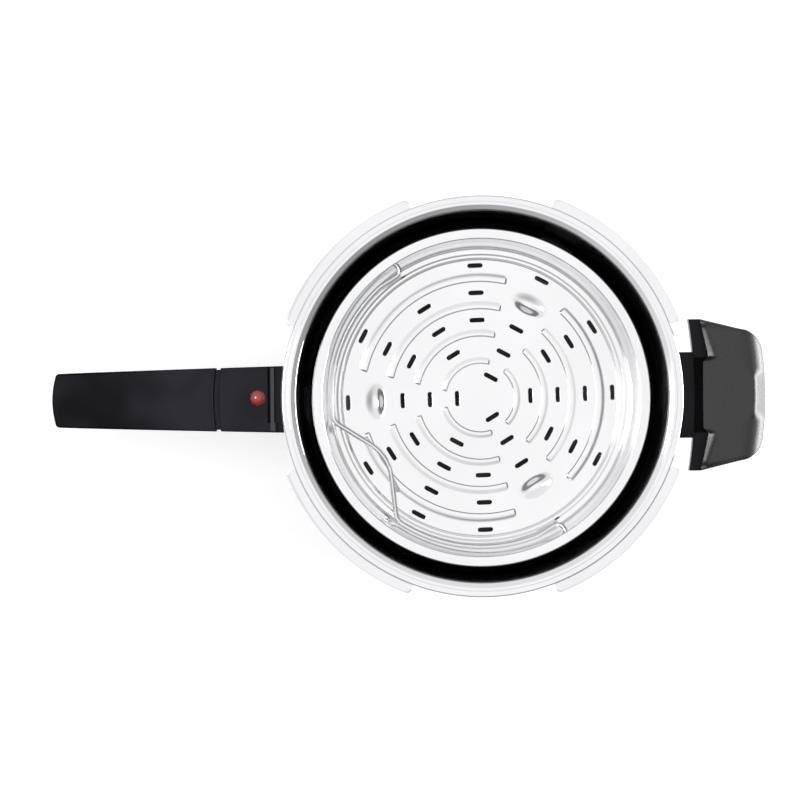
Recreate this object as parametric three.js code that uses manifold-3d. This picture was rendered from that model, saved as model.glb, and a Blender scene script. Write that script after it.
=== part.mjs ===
// An open pressure cooker with its steamer basket standing inside on a trivet.
// Millimetres, +Z up. The pot stands on z = 0 with its axis on Z.
// The long handle points along -X and the helper handle along +X.

import * as THREE from 'three';
import { mergeVertices } from 'three/addons/utils/BufferGeometryUtils.js';
import Module from 'manifold-3d';

const wasm = await Module();
wasm.setup();

const { clamp, degToRad, lerp, radToDeg } = THREE.MathUtils;

// Fits and facets
const seatGap = 0.3; // between pieces that rest on or against each other
const runningGap = 0.25; // around pieces that slide or turn
const potFacets = 48;
const smallFacets = 12;
const filletStep = degToRad(40);
const bowSteps = 8; // along each bowed edge

// Pot shell
const potInnerRadius = 110;
const potDepth = 125;
const potWall = 1.2;
const potCornerRadius = 16;
const rimWidth = 8.9; // from the inner wall to the outside of the rim
const rimLipRadius = 3;
const rimEdgeRadius = 1.8;
const rimSkirt = 5; // how far the rim's edge turns down
const lugCount = 4;
const lugSpan = degToRad(49);
const lugReach = 6.1;
const lugThickness = 2;
const lugCornerRadius = 3;

// Base
const baseInset = 13.2; // from the pot's outside in to the base's edge
const baseCapWall = 0.8;
const baseCapEdgeRadius = 2.5;
const baseCoreThickness = 5.5;

// Steamer basket
const basketSheet = 0.9;
const basketGap = 7.7; // from the pot wall to the basket's rim
const basketHeight = 28; // floor to rim
const basketFlange = 6;
const basketFlangeCurl = 3;
const basketDraft = 4.6; // how far the wall leans out
const basketLedge = 7.2; // step between floor and wall
const basketStepHeight = 2.2;
const basketCornerRadius = 4;
const basketAngle = degToRad(1.9); // how the basket happens to stand in the pot
const slotLength = 9.2;
const slotWidth = 2.6;
const slotEdgeMargin = 3.4; // from the outer slots to the floor's edge
const firstSlotRing = 14.1;
const slotRings = [
  { places: 3, phase: 60, left: [] },
  { places: 6, phase: 0, left: [] },
  { places: 12, phase: 0, left: [] },
  { places: 12, phase: 0, left: [2, 6, 10] }, // left out where the feet are
  { places: 12, phase: 0, left: [4, 10] }, // left out under the bail's pivots
];
const beadWidth = 3.7;
const beadHeight = 1.2;
const beadHalfSpan = degToRad(44);
const beadsPerRing = 3;
const beadStepLength = 11;
const beadEndSteps = 2;
const footCount = 3;
const footPhase = 60; // degrees from the first slots round to the first foot
const footSlotRing = 3; // ring of slots that the feet stand in, the innermost being 0
const footLength = 27.6;
const footWidth = 13.8;
const footDepth = 2.5;
const footTaper = 0.68; // sole's size against the foot's top

// Bail
const bailWire = 2.8;
const bailSides = 6;
const bailSteps = 76;
const bailWallGap = 3.2; // from the basket wall at the pivots to the wire's middle
const bailPivotHeight = 16; // above the basket's floor
const bailPivotPlace = degToRad(120.2); // round the basket from its first slots
const bailPivotInset = 1.3; // the wire's bend stands in from its run
const bailEndReach = 3.6; // of the wire's ends outside the basket
const bailBendRadius = 4;
const bailRunStep = degToRad(9);
const bailRunStart = degToRad(10);
const bailHumpHalf = degToRad(23);
const bailHumpDepth = 20.3;
const bailHumpRadius = 15;
const bailHumpEndRadius = 8;
const bailSag = degToRad(5); // below level when folded down

// Trivet
const trivetHeight = 41;
const trivetSheet = 1.6;
const trivetRingInset = 2.9; // middle of the basket's feet out to the ring, which runs between two slot rings
const trivetRingWidth = 6;
const trivetRingFacets = 36;
const trivetArmWidth = 17;
const trivetArmInset = 7; // arm inside the middle of the foot that it carries
const trivetArmOverhang = 14; // arm past it
const trivetLegSplay = 6;
const trivetFoot = 7;
const trivetBendRadius = 6;
const trivetFootBendRadius = 3;

// Long handle
const handleDrop = 6; // rim top down to the handle's top
const handleHeight = 24;
const handleEndHeight = 21;
const handleFrontLength = 45; // pot's outside to the seam
const handleGripLength = 95.4;
const handleFrontWidth = 40;
const handleSeamWidth = 37.6;
const handleEndWidth = 31.9;
const handleShift = 1; // mouldings lie this far off the button's axis, towards the stop
const handleEndArc = 52; // radius of the seam and of the grip's end, seen from above
const handleTopRound = 1.2;
const handleBottomRound = 6;
const tenonLength = 2.7; // band that shows in the seam
const tenonInset = 1;
const guideSlotDistance = 14.9; // pot's outside to the near side of the lid guide slot
const guideSlotWidth = 1.6;
const guideSlotDepth = 4;
const guideRidgeTop = 0.7;
const guideRidgeSlope = 2.2;
const guideFrontDrop = 2;
const guideStopWidth = 3.9;
const guideStopLength = 6.1;
const bracketPlate = 1.5;
const bracketPlateWidth = 46;
const bracketPlateHeight = 24;
const tangWidth = 16;
const tangHeight = 6;
const tangSheet = 1.8;
const tangDrop = 9; // handle's top down to the tang's top
const tangLength = 111;

// Button and fasteners
const buttonDistance = 21.8; // pot's outside to the button's axis
const buttonRadius = 4.45;
const buttonDome = 1.8; // stands above the handle
const buttonFlangeRadius = 6;
const buttonFlange = 1.5;
const buttonLip = 2.5; // handle wall that keeps the button in
const buttonFacets = 20;
const springRadius = 4.3;
const springWire = 0.7;
const springTurns = 3;
const springTurnSteps = 8;
const springSides = 6;
const screwRadius = 2.5;
const screwHeadRadius = 4.6;
const screwHeadHeight = 2.6;
const screwSocket = 3; // across the flats
const screwSocketDepth = 1.5;
const screwRecess = 0.4; // head's depth below the moulding's face
const washerRadius = 5;
const washerThickness = 1;
const nutAcrossFlats = 8;
const nutHeight = 3.4;
const frontScrewDistance = 35;
const gripScrewDistance = 94;

// Helper handle
const helperDrop = 6; // rim top down to the helper handle's top
const helperHeight = 20;
const helperInner = 11.6; // pot's outside to the tips of the inner edge
const helperLength = 45.7;
const helperInnerWidth = 90;
const helperOuterWidth = 79;
const helperInnerBow = 3.5; // inner edge hollow towards the pot
const helperOuterBow = 4;
const helperCornerRadius = 13;
const helperTopRound = 4;
const helperBottomRound = 3;
const helperLedge = 6.4;
const helperLedgeDrop = 6;
const helperScoopInnerWidth = 50;
const helperScoopOuterWidth = 14;
const helperScoopDepth = 1.3;
const helperNeckWidth = 51;
const helperNeckDrop = 7; // below the helper handle's top
const helperNeckHeight = 16;
const helperWall = 4;
const helperTangWidth = 38;
const helperTangSheet = 4;
const helperTangLength = 36;
const helperTangDrop = 8;
const helperScrewDistance = 26.5;
const helperScrewSpacing = 24;

// Levels and radii that follow from the sizes above
const potOuterRadius = potInnerRadius + potWall;
const rimRadius = potInnerRadius + rimWidth;
const baseRadius = potOuterRadius - baseInset;
const baseCoreBottom = baseCapWall + seatGap;
const potUnderside = baseCoreBottom + baseCoreThickness + seatGap;
const potFloor = potUnderside + potWall;
const rimTop = potFloor + potDepth;
const trivetTop = potFloor + seatGap + trivetHeight;
const basketFloor = trivetTop + seatGap + footDepth + basketSheet;
const basketRim = basketFloor + basketHeight;
const basketRimRadius = potInnerRadius - basketGap;
const basketWallTop = basketRimRadius - basketFlange;
const basketWallFoot = basketWallTop - basketDraft;
const basketFloorRadius = basketWallFoot - basketLedge;
const slotRingPitch = (basketFloorRadius - slotEdgeMargin - firstSlotRing) / (slotRings.length - 1);
const footRing = firstSlotRing + footSlotRing * slotRingPitch;
const handleTop = rimTop - handleDrop;
const handleBottom = handleTop - handleHeight;
const plateOuterRadius = potOuterRadius + seatGap + bracketPlate;
const seamX = potOuterRadius + handleFrontLength;
const gripFrontX = seamX + tenonLength + seatGap;
const gripEndX = gripFrontX + handleGripLength;
const tangTop = handleTop - tangDrop;
const tangBottom = tangTop - tangHeight;
const counterboreDepth = screwRecess + screwHeadHeight + washerThickness + seatGap;
const helperTop = rimTop - helperDrop;
const helperBottom = helperTop - helperHeight;
const helperTangTop = helperTop - helperTangDrop;

// Solids

// A closed three.js geometry as a solid that can be joined and cut, faces pointing out.
function solidOf(geometry) {
  const bare = new THREE.BufferGeometry();
  bare.setAttribute('position', geometry.getAttribute('position'));
  bare.setIndex(geometry.getIndex());
  const merged = mergeVertices(bare);
  const index = merged.getIndex().array;
  const triangles = [];
  for (let i = 0; i < index.length; i += 3) {
    const [a, b, c] = [index[i], index[i + 1], index[i + 2]];
    if (a !== b && b !== c && c !== a) {
      triangles.push([a, b, c]);
    }
  }
  const vertProperties = new Float32Array(merged.getAttribute('position').array);
  const build = (list) => new wasm.Manifold(new wasm.Mesh({
    numProp: 3,
    vertProperties,
    triVerts: new Uint32Array(list.flat()),
  }));
  const solid = build(triangles);
  if (solid.volume() > 0) {
    return solid;
  }
  return build(triangles.map(([a, b, c]) => [a, c, b]));
}

function geometryOf(solid) {
  const mesh = solid.getMesh();
  const geometry = new THREE.BufferGeometry();
  geometry.setAttribute('position', new THREE.BufferAttribute(new Float32Array(mesh.vertProperties), 3));
  geometry.setIndex(new THREE.BufferAttribute(new Uint32Array(mesh.triVerts), 1));
  geometry.computeVertexNormals();
  return geometry;
}

function joined(solids) {
  return solids.reduce((whole, solid) => whole.add(solid));
}

// Outlines

// Line through the corners [x, y, radius], each corner rounded by its radius.
function filletedLine(corners, closed = false) {
  const count = corners.length;
  return corners.flatMap(([x, y, radius = 0], i) => {
    const corner = new THREE.Vector2(x, y);
    const isEnd = !closed && (i === 0 || i === count - 1);
    if (isEnd || radius === 0) {
      return [corner];
    }
    const back = new THREE.Vector2(...corners[(i + count - 1) % count]).sub(corner).normalize();
    const ahead = new THREE.Vector2(...corners[(i + 1) % count]).sub(corner).normalize();
    const half = Math.acos(back.dot(ahead)) / 2;
    const centre = back.clone().add(ahead).setLength(radius / Math.sin(half)).add(corner);
    const start = corner.clone().addScaledVector(back, radius / Math.tan(half)).sub(centre);
    const turn = (Math.PI - 2 * half) * Math.sign(ahead.cross(back));
    const steps = Math.max(1, Math.round(Math.abs(turn) / filletStep));
    return Array.from({ length: steps + 1 }, (_, k) =>
      start.clone().rotateAround(new THREE.Vector2(), (turn * k) / steps).add(centre));
  });
}

// Outline of a sheet: the line, and the same line moved right by the thickness, or left if negative.
function sheetOutline(line, thickness) {
  const rightOf = (a, b) => new THREE.Vector2(b.y - a.y, a.x - b.x).normalize();
  const far = line.map((point, i) => {
    const before = rightOf(line[Math.max(i - 1, 0)], line[Math.max(i, 1)]);
    const after = rightOf(line[Math.min(i, line.length - 2)], line[Math.min(i + 1, line.length - 1)]);
    const miter = thickness / (1 + before.dot(after));
    return point.clone().addScaledVector(before.add(after), miter);
  });
  return [...line, ...far.reverse()];
}

// Ring sector between two radii, either side of the X axis.
function sectorShape(innerRadius, outerRadius, halfAngle) {
  const shape = new THREE.Shape();
  shape.absarc(0, 0, outerRadius, -halfAngle, halfAngle, false);
  shape.absarc(0, 0, innerRadius, halfAngle, -halfAngle, true);
  return shape;
}

// Revolves, extrusions and lofts

function revolve(profile, facets) {
  const geometry = new THREE.LatheGeometry(profile, facets);
  geometry.rotateX(Math.PI / 2);
  return solidOf(geometry);
}

function revolveSheet(corners, thickness, facets) {
  return revolve(sheetOutline(filletedLine(corners), thickness), facets);
}

function closedRing(profile, facets) {
  const points = filletedLine(profile, true);
  return revolve([...points, points[0]], facets);
}

function raised(shape, bottom, top, curveSegments = 6) {
  const depth = top - bottom;
  const geometry = new THREE.ExtrudeGeometry(shape, { depth, bevelEnabled: false, curveSegments });
  return solidOf(geometry.translate(0, 0, bottom));
}

// A (y, z) outline carried along X.
function alongX(shape, from, to) {
  const geometry = new THREE.ExtrudeGeometry(shape, { depth: to - from, bevelEnabled: false });
  const frame = new THREE.Matrix4().makeBasis(
    new THREE.Vector3(0, 1, 0),
    new THREE.Vector3(0, 0, 1),
    new THREE.Vector3(1, 0, 0),
  );
  return solidOf(geometry.applyMatrix4(frame).translate(from, 0, 0));
}

// An (x, z) outline carried across Y.
function acrossY(shape, from, to) {
  const geometry = new THREE.ExtrudeGeometry(shape, { depth: to - from, bevelEnabled: false });
  return solidOf(geometry.rotateX(Math.PI / 2).translate(0, to, 0));
}

function block(low, high) {
  const size = high.map((value, i) => value - low[i]);
  const centre = high.map((value, i) => (value + low[i]) / 2);
  return solidOf(new THREE.BoxGeometry(...size).translate(...centre));
}

function post(radius, bottom, top, x = 0, y = 0, facets = smallFacets) {
  const geometry = new THREE.CylinderGeometry(radius, radius, top - bottom, facets);
  return solidOf(geometry.rotateX(Math.PI / 2).translate(x, y, (top + bottom) / 2));
}

// Skin over rings of equally many points, closed by a face on the first ring and on the last.
function loft(rings, flatten = (point) => new THREE.Vector2(point.x, point.y)) {
  const size = rings[0].length;
  const triangles = [];
  for (let k = 0; k < rings.length - 1; k += 1) {
    for (let i = 0; i < size; i += 1) {
      const [a, b] = [k * size + i, k * size + ((i + 1) % size)];
      triangles.push(a, b, b + size, a, b + size, a + size);
    }
  }
  const lastStart = (rings.length - 1) * size;
  const facesOf = (ring) => THREE.ShapeUtils.triangulateShape(ring.map(flatten), [])
    .map((face) => face.sort((a, b) => a - b));
  for (const [a, b, c] of facesOf(rings[0])) {
    triangles.push(c, b, a);
  }
  for (const [a, b, c] of facesOf(rings.at(-1))) {
    triangles.push(lastStart + a, lastStart + b, lastStart + c);
  }
  const geometry = new THREE.BufferGeometry().setFromPoints(rings.flat());
  geometry.setIndex(triangles);
  return solidOf(geometry);
}

function wire(points, diameter, sides, steps) {
  const section = new THREE.Shape();
  section.absarc(0, 0, diameter / 2, 0, 2 * Math.PI, false);
  const extrudePath = new THREE.CatmullRomCurve3(points, false, 'centripetal');
  const geometry = new THREE.ExtrudeGeometry(section, { steps, extrudePath, curveSegments: sides / 2 });
  return solidOf(geometry);
}

const roundTurn = (count) => Array.from({ length: count }, (_, k) => (360 * k) / count);

const turned = (solid, degrees) => solid.rotate([0, 0, degrees]);

const footAngles = roundTurn(footCount).map((angle) => angle + footPhase);

// Pot

function potBody() {
  const shell = revolveSheet([
    [0, potFloor],
    [potInnerRadius, potFloor, potCornerRadius],
    [potInnerRadius, rimTop, rimLipRadius],
    [rimRadius, rimTop, rimEdgeRadius],
    [rimRadius, rimTop - rimSkirt],
  ], potWall, potFacets);
  const outer = rimRadius + lugReach;
  const inner = rimRadius - potWall / 2;
  const halfSpan = lugSpan / 2;
  const cornerAngle = lugCornerRadius / outer;
  const lugShape = new THREE.Shape();
  lugShape.absarc(0, 0, outer, cornerAngle - halfSpan, halfSpan - cornerAngle, false);
  lugShape.absarc(0, 0, outer - lugCornerRadius, halfSpan, halfSpan, false);
  lugShape.absarc(0, 0, inner, halfSpan, -halfSpan, true);
  lugShape.absarc(0, 0, outer - lugCornerRadius, -halfSpan, -halfSpan, false);
  const lugBottom = rimTop - rimSkirt;
  const lug = raised(lugShape, lugBottom, lugBottom + lugThickness);
  const firstLug = 180 / lugCount;
  return joined([shell, ...roundTurn(lugCount).map((angle) => turned(lug, angle + firstLug))]);
}

function baseCap() {
  return revolveSheet([
    [0, 0],
    [baseRadius, 0, baseCapEdgeRadius],
    [baseRadius, potUnderside - seatGap],
  ], -baseCapWall, potFacets);
}

function baseCore() {
  const radius = baseRadius - baseCapWall - seatGap;
  const top = baseCoreBottom + baseCoreThickness;
  const edge = Math.min(baseCapEdgeRadius, baseCoreThickness / 2);
  return revolve(filletedLine([
    [0, baseCoreBottom],
    [radius, baseCoreBottom, edge],
    [radius, top],
    [0, top],
  ]), potFacets);
}

// Steamer basket

function slotCutters() {
  const reach = (slotLength - slotWidth) / 2;
  const shape = new THREE.Shape();
  shape.absarc(0, reach, slotWidth / 2, 0, Math.PI, false);
  shape.absarc(0, -reach, slotWidth / 2, Math.PI, 2 * Math.PI, false);
  const bottom = basketFloor - basketSheet - footDepth;
  const top = basketFloor + footDepth;
  const cutter = raised(shape, bottom, top, 3);
  return slotRings.flatMap((ring, k) => {
    const radius = firstSlotRing + k * slotRingPitch;
    const kept = roundTurn(ring.places).filter((_, place) => !ring.left.includes(place));
    return kept.map((angle) => turned(cutter.translate([radius, 0, 0]), angle + ring.phase));
  });
}

// A low ridge that rises from the ground along an arc, with sloping sides and its ends drawn in.
function beadRidge(radius, width, ground, base) {
  const steps = beadEndSteps + Math.round(radius / beadStepLength);
  const rings = Array.from({ length: steps + 1 }, (_, k) => {
    const angle = lerp(-beadHalfSpan, beadHalfSpan, k / steps);
    const isEnd = k === 0 || k === steps;
    const half = (isEnd ? 0.5 : 1) * (width / 2);
    const crest = ground + (isEnd ? 0 : beadHeight);
    const section = [
      [-half, base],
      [-half, ground],
      [-half / 2, crest],
      [half / 2, crest],
      [half, ground],
      [half, base],
    ];
    return section.map(([offset, z]) => {
      const reach = radius + offset;
      return new THREE.Vector3(reach * Math.cos(angle), reach * Math.sin(angle), z);
    });
  });
  return loft(rings, (point) => new THREE.Vector2(Math.hypot(point.x, point.y), point.z));
}

function footBowl(grow) {
  const depth = footDepth + grow;
  const geometry = new THREE.CylinderGeometry(1, footTaper, depth, smallFacets);
  geometry.rotateX(Math.PI / 2);
  geometry.scale(footWidth / 2 + grow, footLength / 2 + grow, 1);
  return solidOf(geometry.translate(footRing, 0, basketFloor - depth / 2));
}

function steamerBasket() {
  const stepRadius = basketStepHeight / 2;
  const shell = revolveSheet([
    [0, basketFloor],
    [basketFloorRadius, basketFloor],
    [basketFloorRadius + stepRadius, basketFloor + basketStepHeight],
    [basketWallFoot, basketFloor + basketStepHeight, basketCornerRadius],
    [basketWallTop, basketRim, stepRadius],
    [basketRimRadius, basketRim, stepRadius],
    [basketRimRadius, basketRim - basketFlangeCurl],
  ], basketSheet, potFacets);
  const middle = basketFloor - basketSheet / 2;
  const beadAngles = roundTurn(beadsPerRing);
  const beadRadii = slotRings.slice(1).map((_, k) => firstSlotRing + (k + 0.5) * slotRingPitch);
  const underside = basketFloor - basketSheet;
  const ridges = beadRadii.map((radius) => beadRidge(radius, beadWidth, basketFloor, middle));
  const hollowWidth = beadWidth - basketSheet;
  const hollows = beadRadii.map((radius) =>
    beadRidge(radius, hollowWidth, underside, underside - beadHeight));
  const added = [
    ...footAngles.map((angle) => turned(footBowl(basketSheet), angle)),
    ...ridges.flatMap((ridge) => beadAngles.map((angle) => turned(ridge, angle))),
  ];
  const bowl = footBowl(0).add(footBowl(0).translate([0, 0, footDepth / 2]));
  const cut = [
    ...slotCutters(),
    ...footAngles.map((angle) => turned(bowl, angle)),
    ...hollows.flatMap((hollow) => beadAngles.map((angle) => turned(hollow, angle))),
    pivotBore(),
  ];
  return joined([shell, ...added]).subtract(joined(cut));
}

// Bail, drawn flat with its pivots on X and its bow towards +Y.

const basketWallAtPivot = lerp(basketWallFoot, basketWallTop, bailPivotHeight / basketHeight);
const bailRunRadius = basketWallAtPivot - bailWallGap;
const bailPivotAngle = basketAngle + bailPivotPlace;

function pivotBore() {
  const reach = basketRimRadius - basketSheet - runningGap;
  const radius = bailWire / 2 + runningGap;
  const bore = new THREE.CylinderGeometry(radius, radius, 2 * reach, smallFacets);
  bore.rotateZ(Math.PI / 2).translate(0, 0, basketFloor + bailPivotHeight);
  return turned(solidOf(bore), radToDeg(bailPivotPlace));
}

function basketBail() {
  const onRun = (angle) => [bailRunRadius * Math.cos(angle), bailRunRadius * Math.sin(angle)];
  const humpStart = Math.PI / 2 - bailHumpHalf;
  const runSteps = Math.round((humpStart - bailRunStart) / bailRunStep);
  const run = Array.from({ length: runSteps }, (_, k) =>
    onRun(lerp(bailRunStart, humpStart, k / runSteps)));
  const bend = bailRunRadius - bailPivotInset;
  const half = [
    [basketWallAtPivot + basketSheet + bailEndReach, 0],
    [bend, 0, bailBendRadius],
    ...run,
    [...onRun(humpStart), bailHumpEndRadius],
  ];
  const otherHalf = half.map(([x, y, radius]) => [-x, y, radius]).reverse();
  const apex = [0, bailRunRadius - bailHumpDepth, bailHumpRadius];
  const line = filletedLine([...half, apex, ...otherHalf]);
  return wire(line.map(({ x, y }) => new THREE.Vector3(x, y, 0)), bailWire, bailSides, bailSteps);
}

// Trivet

function trivet() {
  const bottom = potFloor + seatGap;
  const armEnd = footRing + trivetArmOverhang;
  const footStart = armEnd + trivetLegSplay;
  const side = sheetOutline(filletedLine([
    [footRing - trivetArmInset, trivetTop],
    [armEnd, trivetTop, trivetBendRadius],
    [footStart, bottom + trivetSheet, trivetFootBendRadius],
    [footStart + trivetFoot, bottom + trivetSheet],
  ]), trivetSheet);
  const arm = acrossY(new THREE.Shape(side), -trivetArmWidth / 2, trivetArmWidth / 2);
  const ringInner = footRing + trivetRingInset;
  const ringOuter = ringInner + trivetRingWidth;
  const ring = closedRing([
    [ringInner, trivetTop - trivetSheet],
    [ringOuter, trivetTop - trivetSheet],
    [ringOuter, trivetTop],
    [ringInner, trivetTop],
  ], trivetRingFacets);
  return joined([ring, ...footAngles.map((angle) => turned(arm, angle))]);
}

// Long handle, drawn along +X

// Levels of a moulding from its bottom face to its top, drawn in where its edges are rounded.
function roundedLevels(bottom, top, bottomRound, topRound, steps = 3) {
  const quarter = Array.from({ length: steps + 1 }, (_, k) => (k / steps) * (Math.PI / 2));
  return [
    ...quarter.map((angle) => ({
      inset: bottomRound * (1 - Math.sin(angle)),
      z: bottom + bottomRound * (1 - Math.cos(angle)),
    })),
    ...quarter.map((angle) => ({
      inset: topRound * (1 - Math.cos(angle)),
      z: top - topRound * (1 - Math.sin(angle)),
    })),
  ];
}

// A tapering bar with bowed ends; its underside rises from the height at the front to that at the end.
function handleBar(front, end, frontWidth, endWidth, frontHeight, endHeight) {
  const across = (x, half, inset) => Array.from({ length: bowSteps + 1 }, (_, k) => {
    const y = lerp(inset - half, half - inset, k / bowSteps);
    return [x - handleEndArc + Math.sqrt(handleEndArc ** 2 - y ** 2), y];
  });
  const levels = roundedLevels(handleTop - frontHeight, handleTop, handleBottomRound, handleTopRound);
  return loft(levels.map(({ inset, z }) => {
    const outline = [
      ...across(end - inset, endWidth / 2, inset),
      ...across(front + inset, frontWidth / 2, inset).reverse(),
    ];
    return outline.map(([x, y]) => {
      const along = clamp((x - front) / (end - front), 0, 1);
      const height = lerp(frontHeight, endHeight, along);
      return new THREE.Vector3(x, y, handleTop - ((handleTop - z) * height) / frontHeight);
    });
  })).translate([0, handleShift, 0]);
}

function gripBottomAt(x) {
  return handleTop - lerp(handleHeight, handleEndHeight, (x - gripFrontX) / handleGripLength);
}

// What a moulding leaves free for the pot and the plate welded to it.
function potClearance(bottom, top) {
  const height = top - bottom;
  return post(plateOuterRadius + seatGap, bottom - height, top + height, 0, 0, potFacets);
}

function tangPocket(from, to) {
  const half = tangWidth / 2 + seatGap;
  return block([from, -half, tangBottom - seatGap], [to, half, tangTop + seatGap]);
}

function screwHole(x, y, faceZ, tip) {
  const bore = post(screwRadius + seatGap, faceZ, tip, x, y);
  const counterbore = post(washerRadius + seatGap, faceZ - counterboreDepth, faceZ + counterboreDepth, x, y);
  return bore.add(counterbore);
}

function handleFront() {
  const inside = potOuterRadius - potWall;
  const bar = handleBar(inside, seamX, handleFrontWidth, handleSeamWidth, handleHeight, handleHeight);
  const bandWidth = handleSeamWidth - 2 * tenonInset;
  const band = handleBar(
    seamX - 3 * tenonLength,
    seamX + tenonLength,
    bandWidth,
    bandWidth,
    handleHeight - tenonInset,
    handleHeight - tenonInset,
  ).translate([0, 0, -tenonInset]);
  const potSide = potClearance(handleBottom, handleTop);
  const slotX = potOuterRadius + guideSlotDistance;
  const stopY = handleFrontWidth / 2 + handleShift - guideStopLength;
  const slot = block(
    [slotX, -handleFrontWidth, handleTop - guideSlotDepth],
    [slotX + guideSlotWidth, stopY, handleTop + guideSlotDepth],
  );
  const crest = slotX - guideRidgeTop;
  const slope = new THREE.Shape(filletedLine([
    [0, handleTop - guideFrontDrop],
    [crest - guideRidgeSlope, handleTop - guideFrontDrop],
    [crest, handleTop],
    [crest, handleTop + guideSlotDepth],
    [0, handleTop + guideSlotDepth],
  ]));
  const ridge = acrossY(slope, -handleFrontWidth, stopY);
  const stop = acrossY(slope, stopY - seatGap, handleFrontWidth)
    .translate([guideRidgeSlope - guideStopWidth, 0, 0]);
  const buttonX = potOuterRadius + buttonDistance;
  const bore = (radius, top) => post(radius + runningGap, tangTop, top, buttonX, 0, buttonFacets);
  const screwX = potOuterRadius + frontScrewDistance;
  return bar.add(band).subtract(joined([
    potSide,
    slot,
    ridge,
    stop,
    bore(buttonRadius, handleTop + buttonDome),
    bore(buttonFlangeRadius, handleTop - buttonLip),
    tangPocket(0, seamX + 2 * tenonLength),
    screwHole(screwX, 0, handleBottom, tangTop),
  ]));
}

function handleGrip() {
  const bar = handleBar(gripFrontX, gripEndX, handleSeamWidth, handleEndWidth, handleHeight, handleEndHeight);
  const screwX = potOuterRadius + gripScrewDistance;
  const tangEnd = potOuterRadius + tangLength;
  return bar.subtract(joined([
    tangPocket(seamX - handleFrontLength, tangEnd + seatGap),
    screwHole(screwX, 0, gripBottomAt(screwX), tangTop),
  ]));
}

function weldPlate(bottom) {
  const halfAngle = Math.asin(bracketPlateWidth / 2 / plateOuterRadius);
  const shape = sectorShape(potOuterRadius + seatGap, plateOuterRadius, halfAngle);
  return raised(shape, bottom, bottom + bracketPlateHeight, 5);
}

function handleBracket() {
  const plate = weldPlate((tangTop + tangBottom - bracketPlateHeight) / 2);
  const half = tangWidth / 2;
  const channel = new THREE.Shape(filletedLine([
    [-half, tangBottom],
    [-half + tangSheet, tangBottom],
    [-half + tangSheet, tangTop - tangSheet],
    [half - tangSheet, tangTop - tangSheet],
    [half - tangSheet, tangBottom],
    [half, tangBottom],
    [half, tangTop],
    [-half, tangTop],
  ]));
  const tang = alongX(channel, plateOuterRadius - bracketPlate / 2, potOuterRadius + tangLength);
  const holes = [frontScrewDistance, gripScrewDistance].map((distance) =>
    post(screwRadius + seatGap, tangBottom, tangTop + tangSheet, potOuterRadius + distance, 0));
  return plate.add(tang).subtract(joined(holes));
}

function weldNut(distance) {
  const x = potOuterRadius + distance;
  const shape = new THREE.Shape();
  const corner = nutAcrossFlats / 2 / Math.cos(Math.PI / 6);
  shape.setFromPoints(roundTurn(6).map((angle) => new THREE.Vector2(corner, 0)
    .rotateAround(new THREE.Vector2(), degToRad(angle))));
  const top = tangTop - tangSheet - seatGap;
  const bore = post(screwRadius + seatGap, top - 2 * nutHeight, top + nutHeight);
  return raised(shape, top - nutHeight, top).subtract(bore).translate([x, 0, 0]);
}

// A screw from below: its head's face at z = 0, its shank up to the tip.
function screw(x, y, faceZ, tip) {
  const length = tip - faceZ;
  const body = revolve(filletedLine([
    [0, 0],
    [screwHeadRadius, 0, screwHeadHeight / 3],
    [screwHeadRadius, screwHeadHeight],
    [screwRadius, screwHeadHeight],
    [screwRadius, length - screwRadius / 2],
    [screwRadius / 2, length],
    [0, length],
  ]), smallFacets);
  const socketCorner = screwSocket / 2 / Math.cos(Math.PI / 6);
  const socket = post(socketCorner, -screwSocketDepth, screwSocketDepth, 0, 0, 6);
  return body.subtract(socket).translate([x, y, faceZ]);
}

function washer(x, y, bottom) {
  return closedRing([
    [screwRadius + seatGap, 0],
    [washerRadius, 0],
    [washerRadius, washerThickness],
    [screwRadius + seatGap, washerThickness],
  ], smallFacets).translate([x, y, bottom]);
}

// Screw head, then washer, up to the counterbore's seat.
const headFace = (faceZ) => faceZ + screwRecess - seatGap;
const washerFace = (faceZ) => faceZ + counterboreDepth - seatGap - washerThickness;

function catchButton() {
  const shoulder = handleTop - buttonLip - seatGap;
  const domeArc = (buttonRadius ** 2 + buttonDome ** 2) / (2 * buttonDome);
  const domeHalf = Math.asin(buttonRadius / domeArc);
  const steps = 4;
  const dome = Array.from({ length: steps + 1 }, (_, k) => {
    const angle = domeHalf * (1 - k / steps);
    const z = handleTop + buttonDome - domeArc * (1 - Math.cos(angle));
    return new THREE.Vector2(domeArc * Math.sin(angle), z);
  });
  dome[steps].x = 0;
  const profile = [
    new THREE.Vector2(0, shoulder - buttonFlange),
    new THREE.Vector2(buttonFlangeRadius, shoulder - buttonFlange),
    new THREE.Vector2(buttonFlangeRadius, shoulder),
    new THREE.Vector2(buttonRadius, shoulder),
    ...dome,
  ];
  return revolve(profile, buttonFacets).translate([potOuterRadius + buttonDistance, 0, 0]);
}

function buttonSpring() {
  const bottom = tangTop + seatGap + springWire / 2;
  const top = handleTop - buttonLip - buttonFlange - 2 * seatGap - springWire / 2;
  const count = springTurnSteps * springTurns;
  const points = Array.from({ length: count + 1 }, (_, k) => {
    const angle = (2 * Math.PI * k) / springTurnSteps;
    return new THREE.Vector3(
      springRadius * Math.cos(angle),
      springRadius * Math.sin(angle),
      lerp(bottom, top, k / count),
    );
  });
  return wire(points, springWire, springSides, count).translate([potOuterRadius + buttonDistance, 0, 0]);
}

// Helper handle

const helperInnerX = potOuterRadius + helperInner;
const helperOuterX = helperInnerX + helperLength;

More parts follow.
